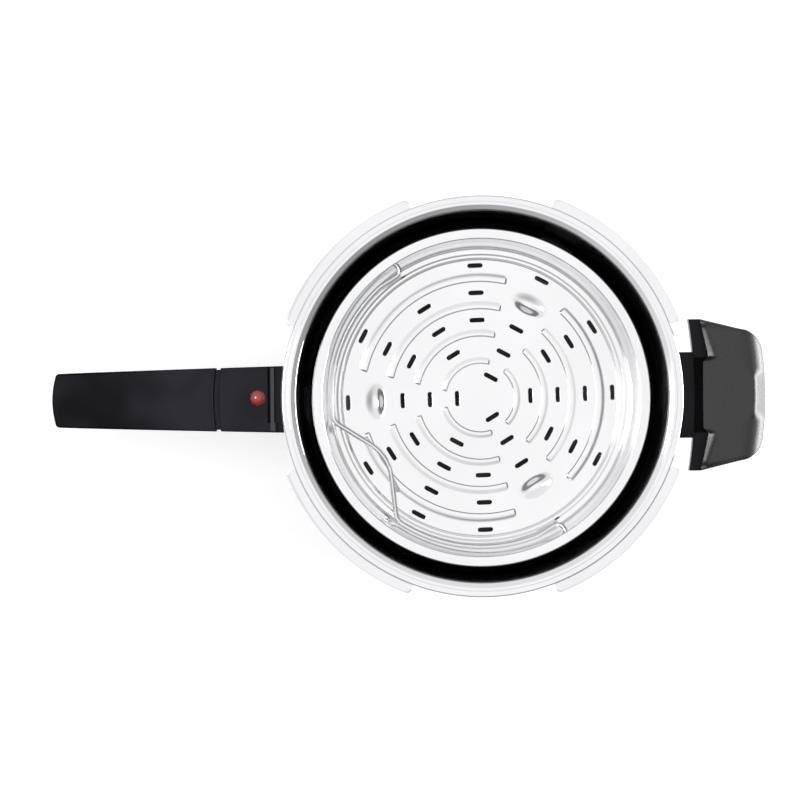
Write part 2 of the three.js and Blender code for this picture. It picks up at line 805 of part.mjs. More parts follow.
// Seen from above: hollow inner edge, sides drawing in, rounded outer corners.
function helperOutline(inset) {
  const innerHalf = helperInnerWidth / 2 - inset;
  const outerHalf = helperOuterWidth / 2 - inset;
  const bowed = (x, half, bow) => Array.from({ length: bowSteps + 1 }, (_, k) => {
    const y = lerp(half, -half, k / bowSteps);
    return [x + bow * (1 - (y / half) ** 2), y];
  });
  const cornerRadius = helperCornerRadius - Math.min(inset, helperTopRound);
  const outerX = helperOuterX - helperOuterBow - inset;
  const outerAt = (share) => [outerX + helperOuterBow * (1 - share ** 2), share * outerHalf];
  return filletedLine([
    ...bowed(helperInnerX + inset, innerHalf, helperInnerBow),
    [...outerAt(-1), cornerRadius],
    ...[-0.5, 0, 0.5].map(outerAt),
    [...outerAt(1), cornerRadius],
  ], true);
}

function helperHandle() {
  const levels = roundedLevels(helperBottom, helperTop, helperBottomRound, helperTopRound, 2);
  const body = loft(levels.map(({ inset, z }) =>
    helperOutline(inset).map(({ x, y }) => new THREE.Vector3(x, y, z))));
  const wide = helperInnerWidth;
  const ledgeEdge = Array.from({ length: bowSteps + 1 }, (_, k) => {
    const y = lerp(-wide / 2, wide / 2, k / bowSteps);
    const bow = helperInnerBow * (1 - (2 * y / wide) ** 2);
    return new THREE.Vector2(helperInnerX + helperLedge + bow, y);
  });
  const ledge = raised(new THREE.Shape([
    new THREE.Vector2(potInnerRadius, -wide),
    ledgeEdge[0].clone().setY(-wide),
    ...ledgeEdge,
    ledgeEdge[bowSteps].clone().setY(wide),
    new THREE.Vector2(potInnerRadius, wide),
  ]), helperTop - helperLedgeDrop, helperTop + helperLedgeDrop);
  const scoopAt = (x, width) => {
    const dip = Array.from({ length: bowSteps + 1 }, (_, k) => {
      const share = lerp(-1, 1, k / bowSteps);
      const z = helperTop - helperScoopDepth * (1 - share ** 2);
      return new THREE.Vector3(x, (share * width) / 2, z);
    });
    const above = helperTop + helperScoopDepth;
    return [...dip, new THREE.Vector3(x, width / 2, above), new THREE.Vector3(x, -width / 2, above)];
  };
  const scoop = loft([
    scoopAt(helperInnerX, helperScoopInnerWidth),
    scoopAt(helperOuterX + helperScoopDepth, helperScoopOuterWidth),
  ], ({ y, z }) => new THREE.Vector2(y, z));
  const neckHalf = helperNeckWidth / 2;
  const neckTop = helperTop - helperNeckDrop;
  const neck = block(
    [potInnerRadius, -neckHalf, neckTop - helperNeckHeight],
    [helperInnerX + helperInnerBow + helperLedge, neckHalf, neckTop],
  );
  const potSide = potClearance(helperBottom, helperTop);
  const pocketBottom = helperTangTop - helperTangSheet - seatGap;
  const tangHalf = helperTangWidth / 2 + seatGap;
  const pocket = block(
    [potInnerRadius, -tangHalf, pocketBottom],
    [potOuterRadius + helperTangLength + seatGap, tangHalf, helperTangTop + seatGap],
  );
  const screwHoles = helperScrewPlaces().map(([x, y]) => screwHole(x, y, helperBottom, helperTangTop));
  return body.subtract(ledge).subtract(scoop).add(neck).subtract(joined([
    potSide,
    pocket,
    wingHollow(1),
    wingHollow(-1),
    ...screwHoles,
  ]));
}

// The moulding is hollow under each wing, open downwards.
function wingHollow(side) {
  const inner = helperTangWidth / 2 + seatGap + helperWall;
  const outer = helperInnerWidth / 2 - helperWall;
  const taper = (helperInnerWidth - helperOuterWidth) / 2;
  const from = helperInnerX + helperInnerBow + helperLedge;
  const to = helperOuterX - helperCornerRadius;
  const outline = filletedLine([
    [from, side * inner],
    [to, side * inner, helperWall / 2],
    [to, side * (outer - taper), helperWall / 2],
    [from, side * (outer - helperWall / 2), helperWall / 2],
  ], true);
  const roof = helperTop - helperLedgeDrop - helperWall;
  return raised(new THREE.Shape(outline), helperBottom - helperWall, roof);
}

function helperScrewPlaces() {
  const x = potOuterRadius + helperScrewDistance;
  return [[x, helperScrewSpacing / 2], [x, -helperScrewSpacing / 2]];
}

function helperBracket() {
  const tangBase = helperTangTop - helperTangSheet;
  const plate = weldPlate(helperTangTop - helperTangSheet / 2 - bracketPlateHeight / 2);
  const tang = block(
    [plateOuterRadius - bracketPlate / 2, -helperTangWidth / 2, tangBase],
    [potOuterRadius + helperTangLength, helperTangWidth / 2, helperTangTop],
  );
  const below = tangBase - helperTangSheet;
  const above = helperTangTop + helperTangSheet;
  const within = post(potOuterRadius + seatGap, below, above, 0, 0, potFacets);
  const holes = helperScrewPlaces().map(([x, y]) =>
    post(screwRadius + seatGap, below, above, x, y));
  return plate.add(tang).subtract(joined([within, ...holes]));
}

// Materials

function finish(color, roughness, metalness) {
  return new THREE.MeshStandardMaterial({ color, roughness, metalness });
}

const polishedSteel = finish(0xe2e3e4, 0.18, 1);
const brushedSteel = finish(0xcfd0d2, 0.35, 1);
const zincSteel = finish(0xb6b9bc, 0.4, 1);
const aluminium = finish(0xc4c7ca, 0.45, 1);
const blackMoulding = finish(0x24252a, 0.5, 0);
const redPlastic = finish(0xd21f2b, 0.25, 0);

function piece(name, solid, material) {
  const mesh = new THREE.Mesh(geometryOf(solid), material);
  mesh.name = name;
  return mesh;
}

// Assembly

const pressureCooker = new THREE.Group();

const pot = new THREE.Group();
pot.add(piece('pot_body', potBody(), polishedSteel));
pot.add(piece('base_core', baseCore(), aluminium));
pot.add(piece('base_cap', baseCap(), brushedSteel));

const longHandle = new THREE.Group();
longHandle.rotation.z = Math.PI;
const frontScrewX = potOuterRadius + frontScrewDistance;
const gripScrewX = potOuterRadius + gripScrewDistance;
const gripScrewFace = gripBottomAt(gripScrewX);
const tangScrewTip = tangTop - seatGap;
longHandle.add(piece('handle_bracket', handleBracket(), brushedSteel));
longHandle.add(piece('front_nut', weldNut(frontScrewDistance), zincSteel));
longHandle.add(piece('grip_nut', weldNut(gripScrewDistance), zincSteel));
longHandle.add(piece('handle_front', handleFront(), blackMoulding));
longHandle.add(piece('handle_grip', handleGrip(), blackMoulding));
longHandle.add(piece('front_screw', screw(frontScrewX, 0, headFace(handleBottom), tangScrewTip), zincSteel));
longHandle.add(piece('front_washer', washer(frontScrewX, 0, washerFace(handleBottom)), zincSteel));
longHandle.add(piece('grip_screw', screw(gripScrewX, 0, headFace(gripScrewFace), tangScrewTip), zincSteel));
longHandle.add(piece('grip_washer', washer(gripScrewX, 0, washerFace(gripScrewFace)), zincSteel));
longHandle.add(piece('catch_button', catchButton(), redPlastic));
longHandle.add(piece('button_spring', buttonSpring(), zincSteel));

const helper = new THREE.Group();
helper.add(piece('helper_bracket', helperBracket(), brushedSteel));
helper.add(piece('helper_handle', helperHandle(), blackMoulding));
helperScrewPlaces().forEach(([x, y], i) => {
  const suffix = 'ab'[i];
  helper.add(piece(`helper_screw_${suffix}`, screw(x, y, headFace(helperBottom), helperTangTop), zincSteel));
  helper.add(piece(`helper_washer_${suffix}`, washer(x, y, washerFace(helperBottom)), zincSteel));
});

const insert = new THREE.Group();
insert.rotation.z = basketAngle;
insert.add(piece('steamer_basket', steamerBasket(), brushedSteel));
insert.add(piece('trivet', trivet(), brushedSteel));

const bailPivot = new THREE.Group();
bailPivot.position.z = basketFloor + bailPivotHeight;
bailPivot.rotation.z = bailPivotAngle;
const bail = piece('basket_bail', basketBail(), polishedSteel);
bail.rotation.x = -bailSag;
bailPivot.add(bail);

pressureCooker.add(pot, longHandle, helper, insert, bailPivot);

export default pressureCooker;
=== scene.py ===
import math

import bmesh
import bpy
import numpy as np
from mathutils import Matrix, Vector


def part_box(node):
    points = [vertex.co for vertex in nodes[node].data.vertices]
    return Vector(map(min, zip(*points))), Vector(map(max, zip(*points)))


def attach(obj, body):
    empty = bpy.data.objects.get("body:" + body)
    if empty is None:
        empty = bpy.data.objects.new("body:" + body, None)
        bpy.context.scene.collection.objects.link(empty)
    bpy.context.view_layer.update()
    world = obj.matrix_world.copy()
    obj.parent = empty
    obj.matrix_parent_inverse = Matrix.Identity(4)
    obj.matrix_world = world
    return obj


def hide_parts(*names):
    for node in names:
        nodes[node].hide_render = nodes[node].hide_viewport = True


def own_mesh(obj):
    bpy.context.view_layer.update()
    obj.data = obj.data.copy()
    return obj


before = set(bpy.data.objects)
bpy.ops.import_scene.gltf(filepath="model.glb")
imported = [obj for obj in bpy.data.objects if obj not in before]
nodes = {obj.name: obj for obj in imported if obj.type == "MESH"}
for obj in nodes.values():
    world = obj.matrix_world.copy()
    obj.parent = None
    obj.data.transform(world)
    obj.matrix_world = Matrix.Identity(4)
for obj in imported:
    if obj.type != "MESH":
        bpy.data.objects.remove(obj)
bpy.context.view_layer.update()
scene = bpy.context.scene
mm = 0.001
print("frame loaded:", len(nodes), "nodes")


# Mesh helpers, all in millimetres


# quads between neighbouring rows and columns of a table of point numbers
def quadsOf(table, closeColumns=False):
    if closeColumns:
        table = np.hstack([table, table[:, :1]])
    corners = [table[:-1, :-1], table[:-1, 1:], table[1:, 1:], table[1:, :-1]]
    return np.stack(corners, axis=-1).reshape(-1, 4)


# the numbers of a grid of points, row by row
def numbered(points):
    return np.arange(points.shape[0] * points.shape[1]).reshape(points.shape[:2])


# faces of a surface whose rows are closed rings
def ringFaces(points):
    return [quadsOf(numbered(points), closeColumns=True)]


# the same with a flat cap at each end
def tubeFaces(points):
    table = numbered(points)
    return [quadsOf(table, closeColumns=True), table[:1], table[-1:, ::-1]]


# a line through corners (x, y, radius): each corner is cut back by radius / tan(half angle)
# and bridged by its arc
def roundedLine(corners, arcStep=0.14, support=0.3):
    line = [np.array(corners[0][:2], float)]
    for before, corner, after in zip(corners, corners[1:], corners[2:]):
        here = np.array(corner[:2], float)
        radius = corner[2] if len(corner) > 2 else 0
        if radius == 0:
            line.append(here)
            continue
        back = np.array(before[:2], float) - here
        ahead = np.array(after[:2], float) - here
        back /= np.linalg.norm(back)
        ahead /= np.linalg.norm(ahead)
        half = math.acos(np.clip(back @ ahead, -1, 1)) / 2
        middle = here + (back + ahead) / np.linalg.norm(back + ahead) * radius / math.sin(half)
        start = here + back * radius / math.tan(half) - middle
        turn = (math.pi - 2 * half) * np.sign(ahead[0] * back[1] - ahead[1] * back[0])
        steps = np.linspace(0, turn, max(3, int(abs(turn) / arcStep) + 2))
        c, s = np.cos(steps), np.sin(steps)
        line.extend(middle + np.stack([c * start[0] - s * start[1], s * start[0] + c * start[1]], axis=1))
    line = np.array(line + [np.array(corners[-1][:2], float)])
    # long straight stretches get a point close to each end, which keeps their shading flat
    step = np.diff(line, axis=0)
    length = np.linalg.norm(step, axis=1)
    long = length > 4 * support
    unit = step[long] / length[long][:, None]
    spots = np.repeat(np.nonzero(long)[0] + 1, 2)
    extra = np.stack([line[:-1][long] + unit * support, line[1:][long] - unit * support], axis=1)
    return np.insert(line, spots, extra.reshape(-1, 2), axis=0)


# the line moved to its right by the thickness, point by point along the middle of its neighbours' normals
def movedRight(line, thickness):
    step = np.diff(line, axis=0)
    right = np.stack([step[:, 1], -step[:, 0]], axis=1) / np.linalg.norm(step, axis=1)[:, None]
    before = np.vstack([right[:1], right])
    after = np.vstack([right, right[-1:]])
    miter = thickness / (1 + np.sum(before * after, axis=1))
    return line + (before + after) * miter[:, None]


# distance along a line to each of its points
def runAlong(line):
    return np.concatenate([[0], np.cumsum(np.linalg.norm(np.diff(line, axis=0), axis=1))])


# profile (radius, z) carried round the Z axis
def spun(profile, angles):
    radius, z = profile[:, :1], profile[:, 1:]
    return np.stack([radius * np.cos(angles), radius * np.sin(angles), z + 0 * angles], axis=-1)


# evenly spaced angles round the circle
def fullTurn(count):
    return np.arange(count) * 2 * math.pi / count


# angle folded into plus or minus half a period about zero
def folded(angle, period=2 * math.pi):
    return (angle + period / 2) % period - period / 2


# rises from 0 to 1 with level ends: t^2 (3 - 2 t)
def smoothStep(t):
    t = np.clip(t, 0, 1)
    return t * t * (3 - 2 * t)


# edge of a rectangle of grid points, in order: along its first row, down its last column and back
def edgeOf(table):
    return np.concatenate([table[0, :-1], table[:-1, -1], table[-1, :0:-1], table[:0:-1, 0]])


# nearest point of a rounded rectangle to each point round it: the core's nearest point
# plus the radius that way
def roundedHole(p, q, coreP, coreQ, radius):
    nearP, nearQ = np.clip(p, -coreP, coreP), np.clip(q, -coreQ, coreQ)
    away = np.hypot(p - nearP, q - nearQ)
    return nearP + (p - nearP) / away * radius, nearQ + (q - nearQ) / away * radius


# points and faces as one object, which rides on its body and stands for its CAD nodes
def addPiece(name, points, faces, look, sharpAngle=40, closed=True):
    mesh = bpy.data.meshes.new(name)
    mesh.from_pydata((np.asarray(points, float).reshape(-1, 3) * mm).tolist(), [],
                     [face for block in faces for face in block.tolist()])
    work = bmesh.new()
    work.from_mesh(mesh)
    bmesh.ops.remove_doubles(work, verts=work.verts, dist=1e-6)
    if closed:
        bmesh.ops.recalc_face_normals(work, faces=work.faces)
    work.to_mesh(mesh)
    work.free()
    mesh.polygons.foreach_set("use_smooth", np.ones(len(mesh.polygons), bool))
    mesh.set_sharp_from_angle(angle=math.radians(sharpAngle))
    mesh.materials.append(look["finish"])
    piece = bpy.data.objects.new(name, mesh)
    scene.collection.objects.link(piece)
    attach(piece, look["body"])
    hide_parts(*look["standsFor"])
    return piece


# each face's radius from the Z axis, and the share of its normal that points away from the axis
def awayFromAxis(centres, normals):
    radius = np.hypot(centres[:, 0], centres[:, 1])
    return radius, np.sum(centres[:, :2] * normals[:, :2], axis=1) / np.maximum(radius, 0.01)


# one more finish on the faces that pick(centres in mm, normals) names
def paint(piece, finish, pick):
    mesh = piece.data
    mesh.materials.append(finish)
    centres = np.empty(len(mesh.polygons) * 3)
    normals = np.empty(len(mesh.polygons) * 3)
    mesh.polygons.foreach_get("center", centres)
    mesh.polygons.foreach_get("normal", normals)
    index = np.empty(len(mesh.polygons), np.int32)
    mesh.polygons.foreach_get("material_index", index)
    index[pick(centres.reshape(-1, 3) / mm, normals.reshape(-1, 3))] = len(mesh.materials) - 1
    mesh.polygons.foreach_set("material_index", index)


# Finishes


# a shader node: a value that is a socket is linked, any other is set
def addNode(tree, kind, values=(), **settings):
    made = tree.nodes.new(kind)
    for key, value in settings.items():
        setattr(made, key, value)
    for socket, value in dict(values).items():
        if isinstance(value, bpy.types.NodeSocket):
            tree.links.new(value, made.inputs[socket])
        else:
            made.inputs[socket].default_value = value
    return made


# a material with its shader's fixed values
def newFinish(name, settings):
    finish = bpy.data.materials.new(name)
    finish.use_nodes = True
    shader = finish.node_tree.nodes["Principled BSDF"]
    for socket, value in settings.items():
        shader.inputs[socket].default_value = value
    return finish, finish.node_tree, shader


# object coordinates as (radius, angle * stretch, z), so that a noise runs in lines round the Z axis
def roundAxis(tree, stretch):
    place = addNode(tree, "ShaderNodeTexCoord").outputs["Object"]
    parts = addNode(tree, "ShaderNodeSeparateXYZ", {"Vector": place})
    x, y, z = parts.outputs
    flat = addNode(tree, "ShaderNodeCombineXYZ", {"X": x, "Y": y}).outputs[0]
    radius = addNode(tree, "ShaderNodeVectorMath", {0: flat}, operation="LENGTH").outputs["Value"]
    angle = addNode(tree, "ShaderNodeMath", {0: y, 1: x}, operation="ARCTAN2").outputs[0]
    run = addNode(tree, "ShaderNodeMath", {0: angle, 1: stretch}, operation="MULTIPLY").outputs[0]
    return addNode(tree, "ShaderNodeCombineXYZ", {"X": radius, "Y": run, "Z": z}).outputs[0]


# a value brought from one range to another
def mapped(tree, value, fromLow, fromHigh, toLow, toHigh):
    limits = {"From Min": fromLow, "From Max": fromHigh, "To Min": toLow, "To Max": toHigh}
    return addNode(tree, "ShaderNodeMapRange", {"Value": value, **limits}).outputs["Result"]


noiseRange = (0.3, 0.7)  # where most of a noise's values lie
# painted shade along X: how far it moves the tint, as a share of the tints' range
paintedShadeShift = 0.2  # share of the tints' range, either way


# two noises: a fine one for bump and gloss, a wide one that tints the colour; run paints shade along X,
# darker at its low end and lighter at its high end, and dull roughens the metal towards the axis
def grain(tree, shader, vector, fineScale, wideScale, tints, gloss, bump, dull=None, run=None):
    fine = addNode(tree, "ShaderNodeTexNoise", {"Vector": vector, "Scale": fineScale, "Detail": 3.0})
    place = addNode(tree, "ShaderNodeTexCoord").outputs["Object"]
    wide = addNode(tree, "ShaderNodeTexNoise", {"Vector": place, "Scale": wideScale, "Detail": 2.0})
    share = wide.outputs["Fac"]
    if run:
        x = addNode(tree, "ShaderNodeSeparateXYZ", {"Vector": place}).outputs["X"]
        along = mapped(tree, x, *run, -paintedShadeShift, paintedShadeShift)
        share = addNode(tree, "ShaderNodeMath", {0: share, 1: along}, operation="ADD").outputs[0]
    tint = addNode(tree, "ShaderNodeValToRGB", {"Fac": share})
    for element, position, colour in zip(tint.color_ramp.elements, noiseRange, tints):
        element.position = position
        element.color = (*colour, 1)
    tree.links.new(tint.outputs["Color"], shader.inputs["Base Color"])
    height = fine.outputs["Fac"]
    rough = mapped(tree, height, *noiseRange, *gloss)
    if dull:
        radius = addNode(tree, "ShaderNodeSeparateXYZ", {"Vector": vector}).outputs["X"]
        inner = mapped(tree, radius, *dull, 0.0)
        rough = addNode(tree, "ShaderNodeMath", {0: rough, 1: inner}, operation="ADD").outputs[0]
    tree.links.new(rough, shader.inputs["Roughness"])
    relief = addNode(tree, "ShaderNodeBump", {"Height": height, "Strength": bump[0], "Distance": bump[1]})
    tree.links.new(relief.outputs["Normal"], shader.inputs["Normal"])


# metal with lines round the Z axis
def spunMetal(name, tints, gloss, lineScale, bump, dull=None):
    finish, tree, shader = newFinish(name, {"Metallic": 1.0})
    lines = roundAxis(tree, stretch=0.006)
    grain(tree, shader, lines, lineScale, wideScale=14.0, tints=tints, gloss=gloss, bump=bump, dull=dull)
    return finish


# metal with an even grain
def plainMetal(name, tints, gloss, scale, bump):
    finish, tree, shader = newFinish(name, {"Metallic": 1.0})
    place = addNode(tree, "ShaderNodeTexCoord").outputs["Object"]
    grain(tree, shader, place, scale, wideScale=30.0, tints=tints, gloss=gloss, bump=bump)
    return finish


# plastic with the mould's grain, and with painted shade along X where run is given
def moulded(name, tints, gloss, scale, bump, settings, run=None):
    finish, tree, shader = newFinish(name, settings)
    place = addNode(tree, "ShaderNodeTexCoord").outputs["Object"]
    grain(tree, shader, place, scale, wideScale=20.0, tints=tints, gloss=gloss, bump=bump, run=run)
    return finish


# name, two tints, roughness from and to, the grain's scale, the bump's strength and depth in metres
polishedSteel = spunMetal("polishedSteel", ((0.84, 0.84, 0.85), (0.90, 0.90, 0.905)), (0.06, 0.11), 900.0,
                          (0.03, 0.00005))
# painted shade: the pot's inside is tinted dark steel so that the gap round the basket and the slots read
# black
shadedInnerSteel = spunMetal("shadedInnerSteel", ((0.25, 0.25, 0.26), (0.32, 0.32, 0.33)), (0.08, 0.14), 900.0,
                       (0.03, 0.00005), dull=(0.088, 0.098, 0.30))
outerSteel = spunMetal("outerSteel", ((0.44, 0.44, 0.45), (0.52, 0.52, 0.53)), (0.20, 0.30), 1300.0,
                       (0.10, 0.00008))
satinSteel = spunMetal("satinSteel", ((0.87, 0.87, 0.875), (0.92, 0.92, 0.925)), (0.10, 0.17), 1600.0,
                       (0.05, 0.00006))
turnedSteel = spunMetal("turnedSteel", ((0.66, 0.66, 0.67), (0.74, 0.74, 0.75)), (0.28, 0.42), 2400.0,
                        (0.18, 0.0001))
wireSteel = plainMetal("wireSteel", ((0.80, 0.80, 0.81), (0.88, 0.88, 0.885)), (0.10, 0.18), 1500.0,
                       (0.05, 0.00005))
sheetSteel = plainMetal("sheetSteel", ((0.62, 0.62, 0.63), (0.72, 0.72, 0.73)), (0.26, 0.40), 900.0,
                        (0.08, 0.0001))
zincSteel = plainMetal("zincSteel", ((0.55, 0.57, 0.60), (0.68, 0.68, 0.68)), (0.28, 0.45), 1200.0,
                       (0.10, 0.0001))
castAluminium = plainMetal("castAluminium", ((0.60, 0.61, 0.62), (0.70, 0.70, 0.71)), (0.38, 0.55), 1200.0,
                           (0.15, 0.0001))
# painted light and shade: the grip's tint is darker at its far end and lighter towards the pot
shadedGripMoulding = moulded("shadedGripMoulding", ((0.0012, 0.0012, 0.0022), (0.0205, 0.0203, 0.0260)), (0.34, 0.44),
                       2600.0, (0.08, 0.0001), {"Specular IOR Level": 0.04}, run=(-0.25, -0.13))
helperMoulding = moulded("helperMoulding", ((0.0040, 0.0044, 0.0054), (0.0090, 0.0095, 0.0110)), (0.22, 0.30),
                         2600.0, (0.06, 0.0001), {"Specular IOR Level": 0.66})
matteMoulding = moulded("matteMoulding", ((0.0075, 0.0078, 0.0090), (0.0125, 0.0128, 0.0150)), (0.42, 0.52),
                        2200.0, (0.10, 0.0001), {"Specular IOR Level": 0.12})
# painted shade: a near-black finish for the groove between the helper handle's neck and body
grooveShadeMoulding = moulded("grooveShadeMoulding", ((0.0012, 0.0014, 0.0018), (0.0030, 0.0034, 0.0040)), (0.55, 0.70),
                         1500.0, (0.25, 0.0002), {"Specular IOR Level": 0.05})
redPlastic = moulded("redPlastic", ((0.28, 0.004, 0.006), (0.36, 0.007, 0.009)), (0.14, 0.20), 1400.0,
                     (0.02, 0.00008), {"Coat Weight": 1.0, "Coat Roughness": 0.08, "Coat IOR": 1.6})
print("finishes made")


# Pot

pot = {
    "body": "pot", "slot": "polished_steel", "finish": polishedSteel, "standsFor": ["pot_body"],
    "innerRadius": 110.0, "floor": 8.1, "rimTop": 133.1, "rimRadius": 118.9, "wall": 1.2,
    "cornerRadius": 16.0, "lipRadius": 1.3, "lipRun": 3.3, "lipFall": 1.68, "edgeRadius": 1.3, "skirt": 5.0,
    "grooveAt": (114.7, 115.3, 115.9), "grooveDepth": 0.15, "grooveRound": 0.25,
    "lugCount": 4, "lugHalf": math.radians(24.5), "lugReach": 6.1, "lugThickness": 2.0, "lugCorner": 3.0,
    "lugSteps": (0.3, 2.5),  # rows along a lug's flat faces
    "lugEdge": ((0.7, 0.0), (0.25, 0.12), (0.0, 0.55)),  # its rounded edge: back from the reach, down
    "lugColumns": (-0.03, 0.0, 0.15, 0.5, 1.0, 1.7, 2.4, 3.2),  # columns at a lug's end
    "lugRest": 0.02,  # share of the reach that is left between lugs
    "insideMargin": 0.4, "outsideMargin": 2.0, "columns": 240,
}


# how far a lug stands out at each angle: 1 along its length, a quarter circle at its corners,
# nearly 0 between lugs
def lugShare(angles, p):
    period = 2 * math.pi / p["lugCount"]
    inside = (p["lugHalf"] - np.abs(folded(angles - period / 2, period))) * p["rimRadius"]
    corner = p["lugCorner"]
    arc = np.sqrt(np.maximum(corner ** 2 - (corner - np.clip(inside, 0, corner)) ** 2, 0))
    return np.where(inside < 0, p["lugRest"], (p["lugReach"] - corner + arc) / p["lugReach"])


# sheet profile spun round Z; radius = profile radius + lug reach * share of a lug at that angle
def makePot(p):
    skirtEnd = p["rimTop"] - p["skirt"]
    lugTop = skirtEnd + p["lugThickness"]
    depths = (0, p["grooveDepth"], 0)
    groove = [(radius, p["rimTop"] - depth, p["grooveRound"]) for radius, depth in zip(p["grooveAt"], depths)]
    inside = roundedLine([(0.0, p["floor"]), (p["innerRadius"], p["floor"], p["cornerRadius"]),
                          (p["innerRadius"], p["rimTop"] - p["lipFall"], p["lipRadius"]),
                          (p["innerRadius"] + p["lipRun"], p["rimTop"], p["lipRadius"]), *groove,
                          (p["rimRadius"], p["rimTop"], p["edgeRadius"]), (p["rimRadius"], skirtEnd)])
    outside = movedRight(inside, p["wall"])[::-1]
    outside[-1, 0] = 0.0
    inside = np.vstack([inside[:-2], [(p["rimRadius"], lugTop + p["lugSteps"][0])]])
    upper = [(0.0, 0.0)] + [(step, 0.0) for step in p["lugSteps"]]
    upper += [(p["lugReach"] - back, -down) for back, down in p["lugEdge"]]
    lower = [(out, -p["lugThickness"] - up) for out, up in upper[:0:-1]]
    edge = np.array(upper + lower)
    base = np.concatenate([inside[:, 0], np.full(len(edge), p["rimRadius"]), outside[:, 0]])
    reach = np.concatenate([np.zeros(len(inside)), edge[:, 0], np.zeros(len(outside))])
    z = np.concatenate([inside[:, 1], lugTop + edge[:, 1], outside[:, 1]])
    ends = (np.arange(p["lugCount"]) + 0.5) * 2 * math.pi / p["lugCount"]
    near = p["lugHalf"] - np.array(p["lugColumns"]) / p["rimRadius"]
    angles = np.unique(np.round(np.concatenate(
        [fullTurn(p["columns"]), (ends[:, None] + near).ravel(), (ends[:, None] - near).ravel()]), 6))
    radius = base[:, None] + reach[:, None] * lugShare(angles, p)
    points = np.stack([radius * np.cos(angles), radius * np.sin(angles), z[:, None] + 0 * angles], axis=-1)
    shell = addPiece("potShell", points, ringFaces(points), p)
    facing = 0.3  # least share of a normal for a face to count as looking that way

    # the inside, tinted dark as painted shade: faces below the lip that look up or towards the axis
    def isShadedInside(centres, normals):
        radius, outwards = awayFromAxis(centres, normals)
        isWithin = radius < p["innerRadius"] + p["insideMargin"]
        return isWithin & ((outwards < -facing) | (normals[:, 2] > facing))

    # the outside below the skirt: faces that look down or away from the axis
    def isOutside(centres, normals):
        radius, outwards = awayFromAxis(centres, normals)
        isBelow = (centres[:, 2] < skirtEnd) & (radius < p["rimRadius"] - p["outsideMargin"])
        return isBelow & ((outwards > facing) | (normals[:, 2] < -facing))

    paint(shell, shadedInnerSteel, isShadedInside)
    paint(shell, outerSteel, isOutside)
    return shell


makePot(pot)

base = {
    "body": "pot", "slot": "brushed_steel", "finish": turnedSteel, "standsFor": ["base_cap"],
    "radius": 98.0, "top": 6.6, "wall": 0.8, "edgeRadius": 2.5, "columns": 180,
}


# cup profile spun round Z: flat underside, rounded edge, short wall, and the inside one wall further in
def makeBase(p):
    under = roundedLine([(0.0, 0.0), (p["radius"], 0.0, p["edgeRadius"]), (p["radius"], p["top"])])
    inside = movedRight(under, -p["wall"])[::-1]
    inside[-1, 0] = 0.0
    points = spun(np.vstack([under, inside]), fullTurn(p["columns"]))
    return addPiece("baseCup", points, ringFaces(points), p)


makeBase(base)
print("pot and base made")


# Steamer basket

basket = {
    "body": "basket", "slot": "satin_steel", "finish": satinSteel, "standsFor": ["steamer_basket"],
    "floor": 53.1, "floorRadius": 84.5, "stepHeight": 2.2, "stepRun": 1.1, "stepRounds": (0.5, 0.45, 0.4),
    "ridge": 0.8, "ridgeTop": 1.5, "ridgeEnd": 88.2, "wallFoot": 91.7, "wallTop": 96.3,
    "rimTop": 81.1, "rimRadius": 102.7, "cornerRadius": 1.8, "rimCorner": 0.9, "curl": 3.0,
    "sheet": 0.9, "shift": (0.55, -0.70, 0.0), "turn": math.radians(1.9),
    # rings of slots: radius, places round it, the first place's angle, places without a slot
    "slotRings": [(14.1, 3, 60, ()), (30.85, 6, 0, ()), (47.6, 12, 0, ()), (64.35, 12, 0, (2, 6, 10)),
                  (81.1, 12, 0, (4, 10))],
    "slotLength": 9.2, "slotWidth": 2.6, "slotRoom": 2.9, "slotEndRoom": 1.5, "slotRoll": 0.22,
    "beadRadii": (22.475, 39.225, 55.975, 72.725), "beadShift": 0.6, "beadCrest": 0.35, "beadInner": 0.9,
    "beadOuter": (3.0, 3.4, 4.1, 5.0), "beadEnd": 1.6, "beadHeight": 0.7, "beadHalf": math.radians(44),
    "beadEndSteps": (-1.2, -0.6, 0.0, 0.6, 1.2, 1.8),  # extra columns at a bead's ends, in degrees
    "footRing": 64.35, "footHalf": (6.9, 13.8), "footDepth": 2.4, "footSole": 0.10,
    "pivotHeight": 16.0, "pivotAngle": math.radians(122.1), "pivotHole": 1.65, "pivotRoom": 3.4,
    "middleRows": (2.0, 5.0, 8.0), "stepRow": 0.6, "rowGap": 0.05, "columns": 180, "seamAt": 15.0,
}


# pressed relief of the floor: each bead is a bump over its distance from an arc,
# each foot a bowl over an oval radius
def pressing(x, y, p):
    radius, angle = np.hypot(x, y), np.arctan2(y, x) - p["turn"]
    third = 2 * math.pi / 3
    beyond = np.maximum(np.abs(folded(angle, third)) - p["beadHalf"], 0)
    lift = 0 * radius
    for beadRadius, outer in zip(p["beadRadii"], p["beadOuter"]):
        out = radius - beadRadius + p["beadShift"]
        flank = np.where(out < 0, p["beadInner"], outer)
        fromCrest = np.maximum(np.abs(out) - p["beadCrest"], 0)
        share = np.hypot(fromCrest / flank, beyond * beadRadius / p["beadEnd"])
        lift = lift + p["beadHeight"] * np.clip(1 - share ** 2, 0, 1) ** 2
    toFoot = folded(angle - third / 2, third)
    oval = np.hypot((radius * np.cos(toFoot) - p["footRing"]) / p["footHalf"][0],
                    radius * np.sin(toFoot) / p["footHalf"][1])
    return lift - p["footDepth"] * smoothStep((1 - oval) / (1 - p["footSole"]))


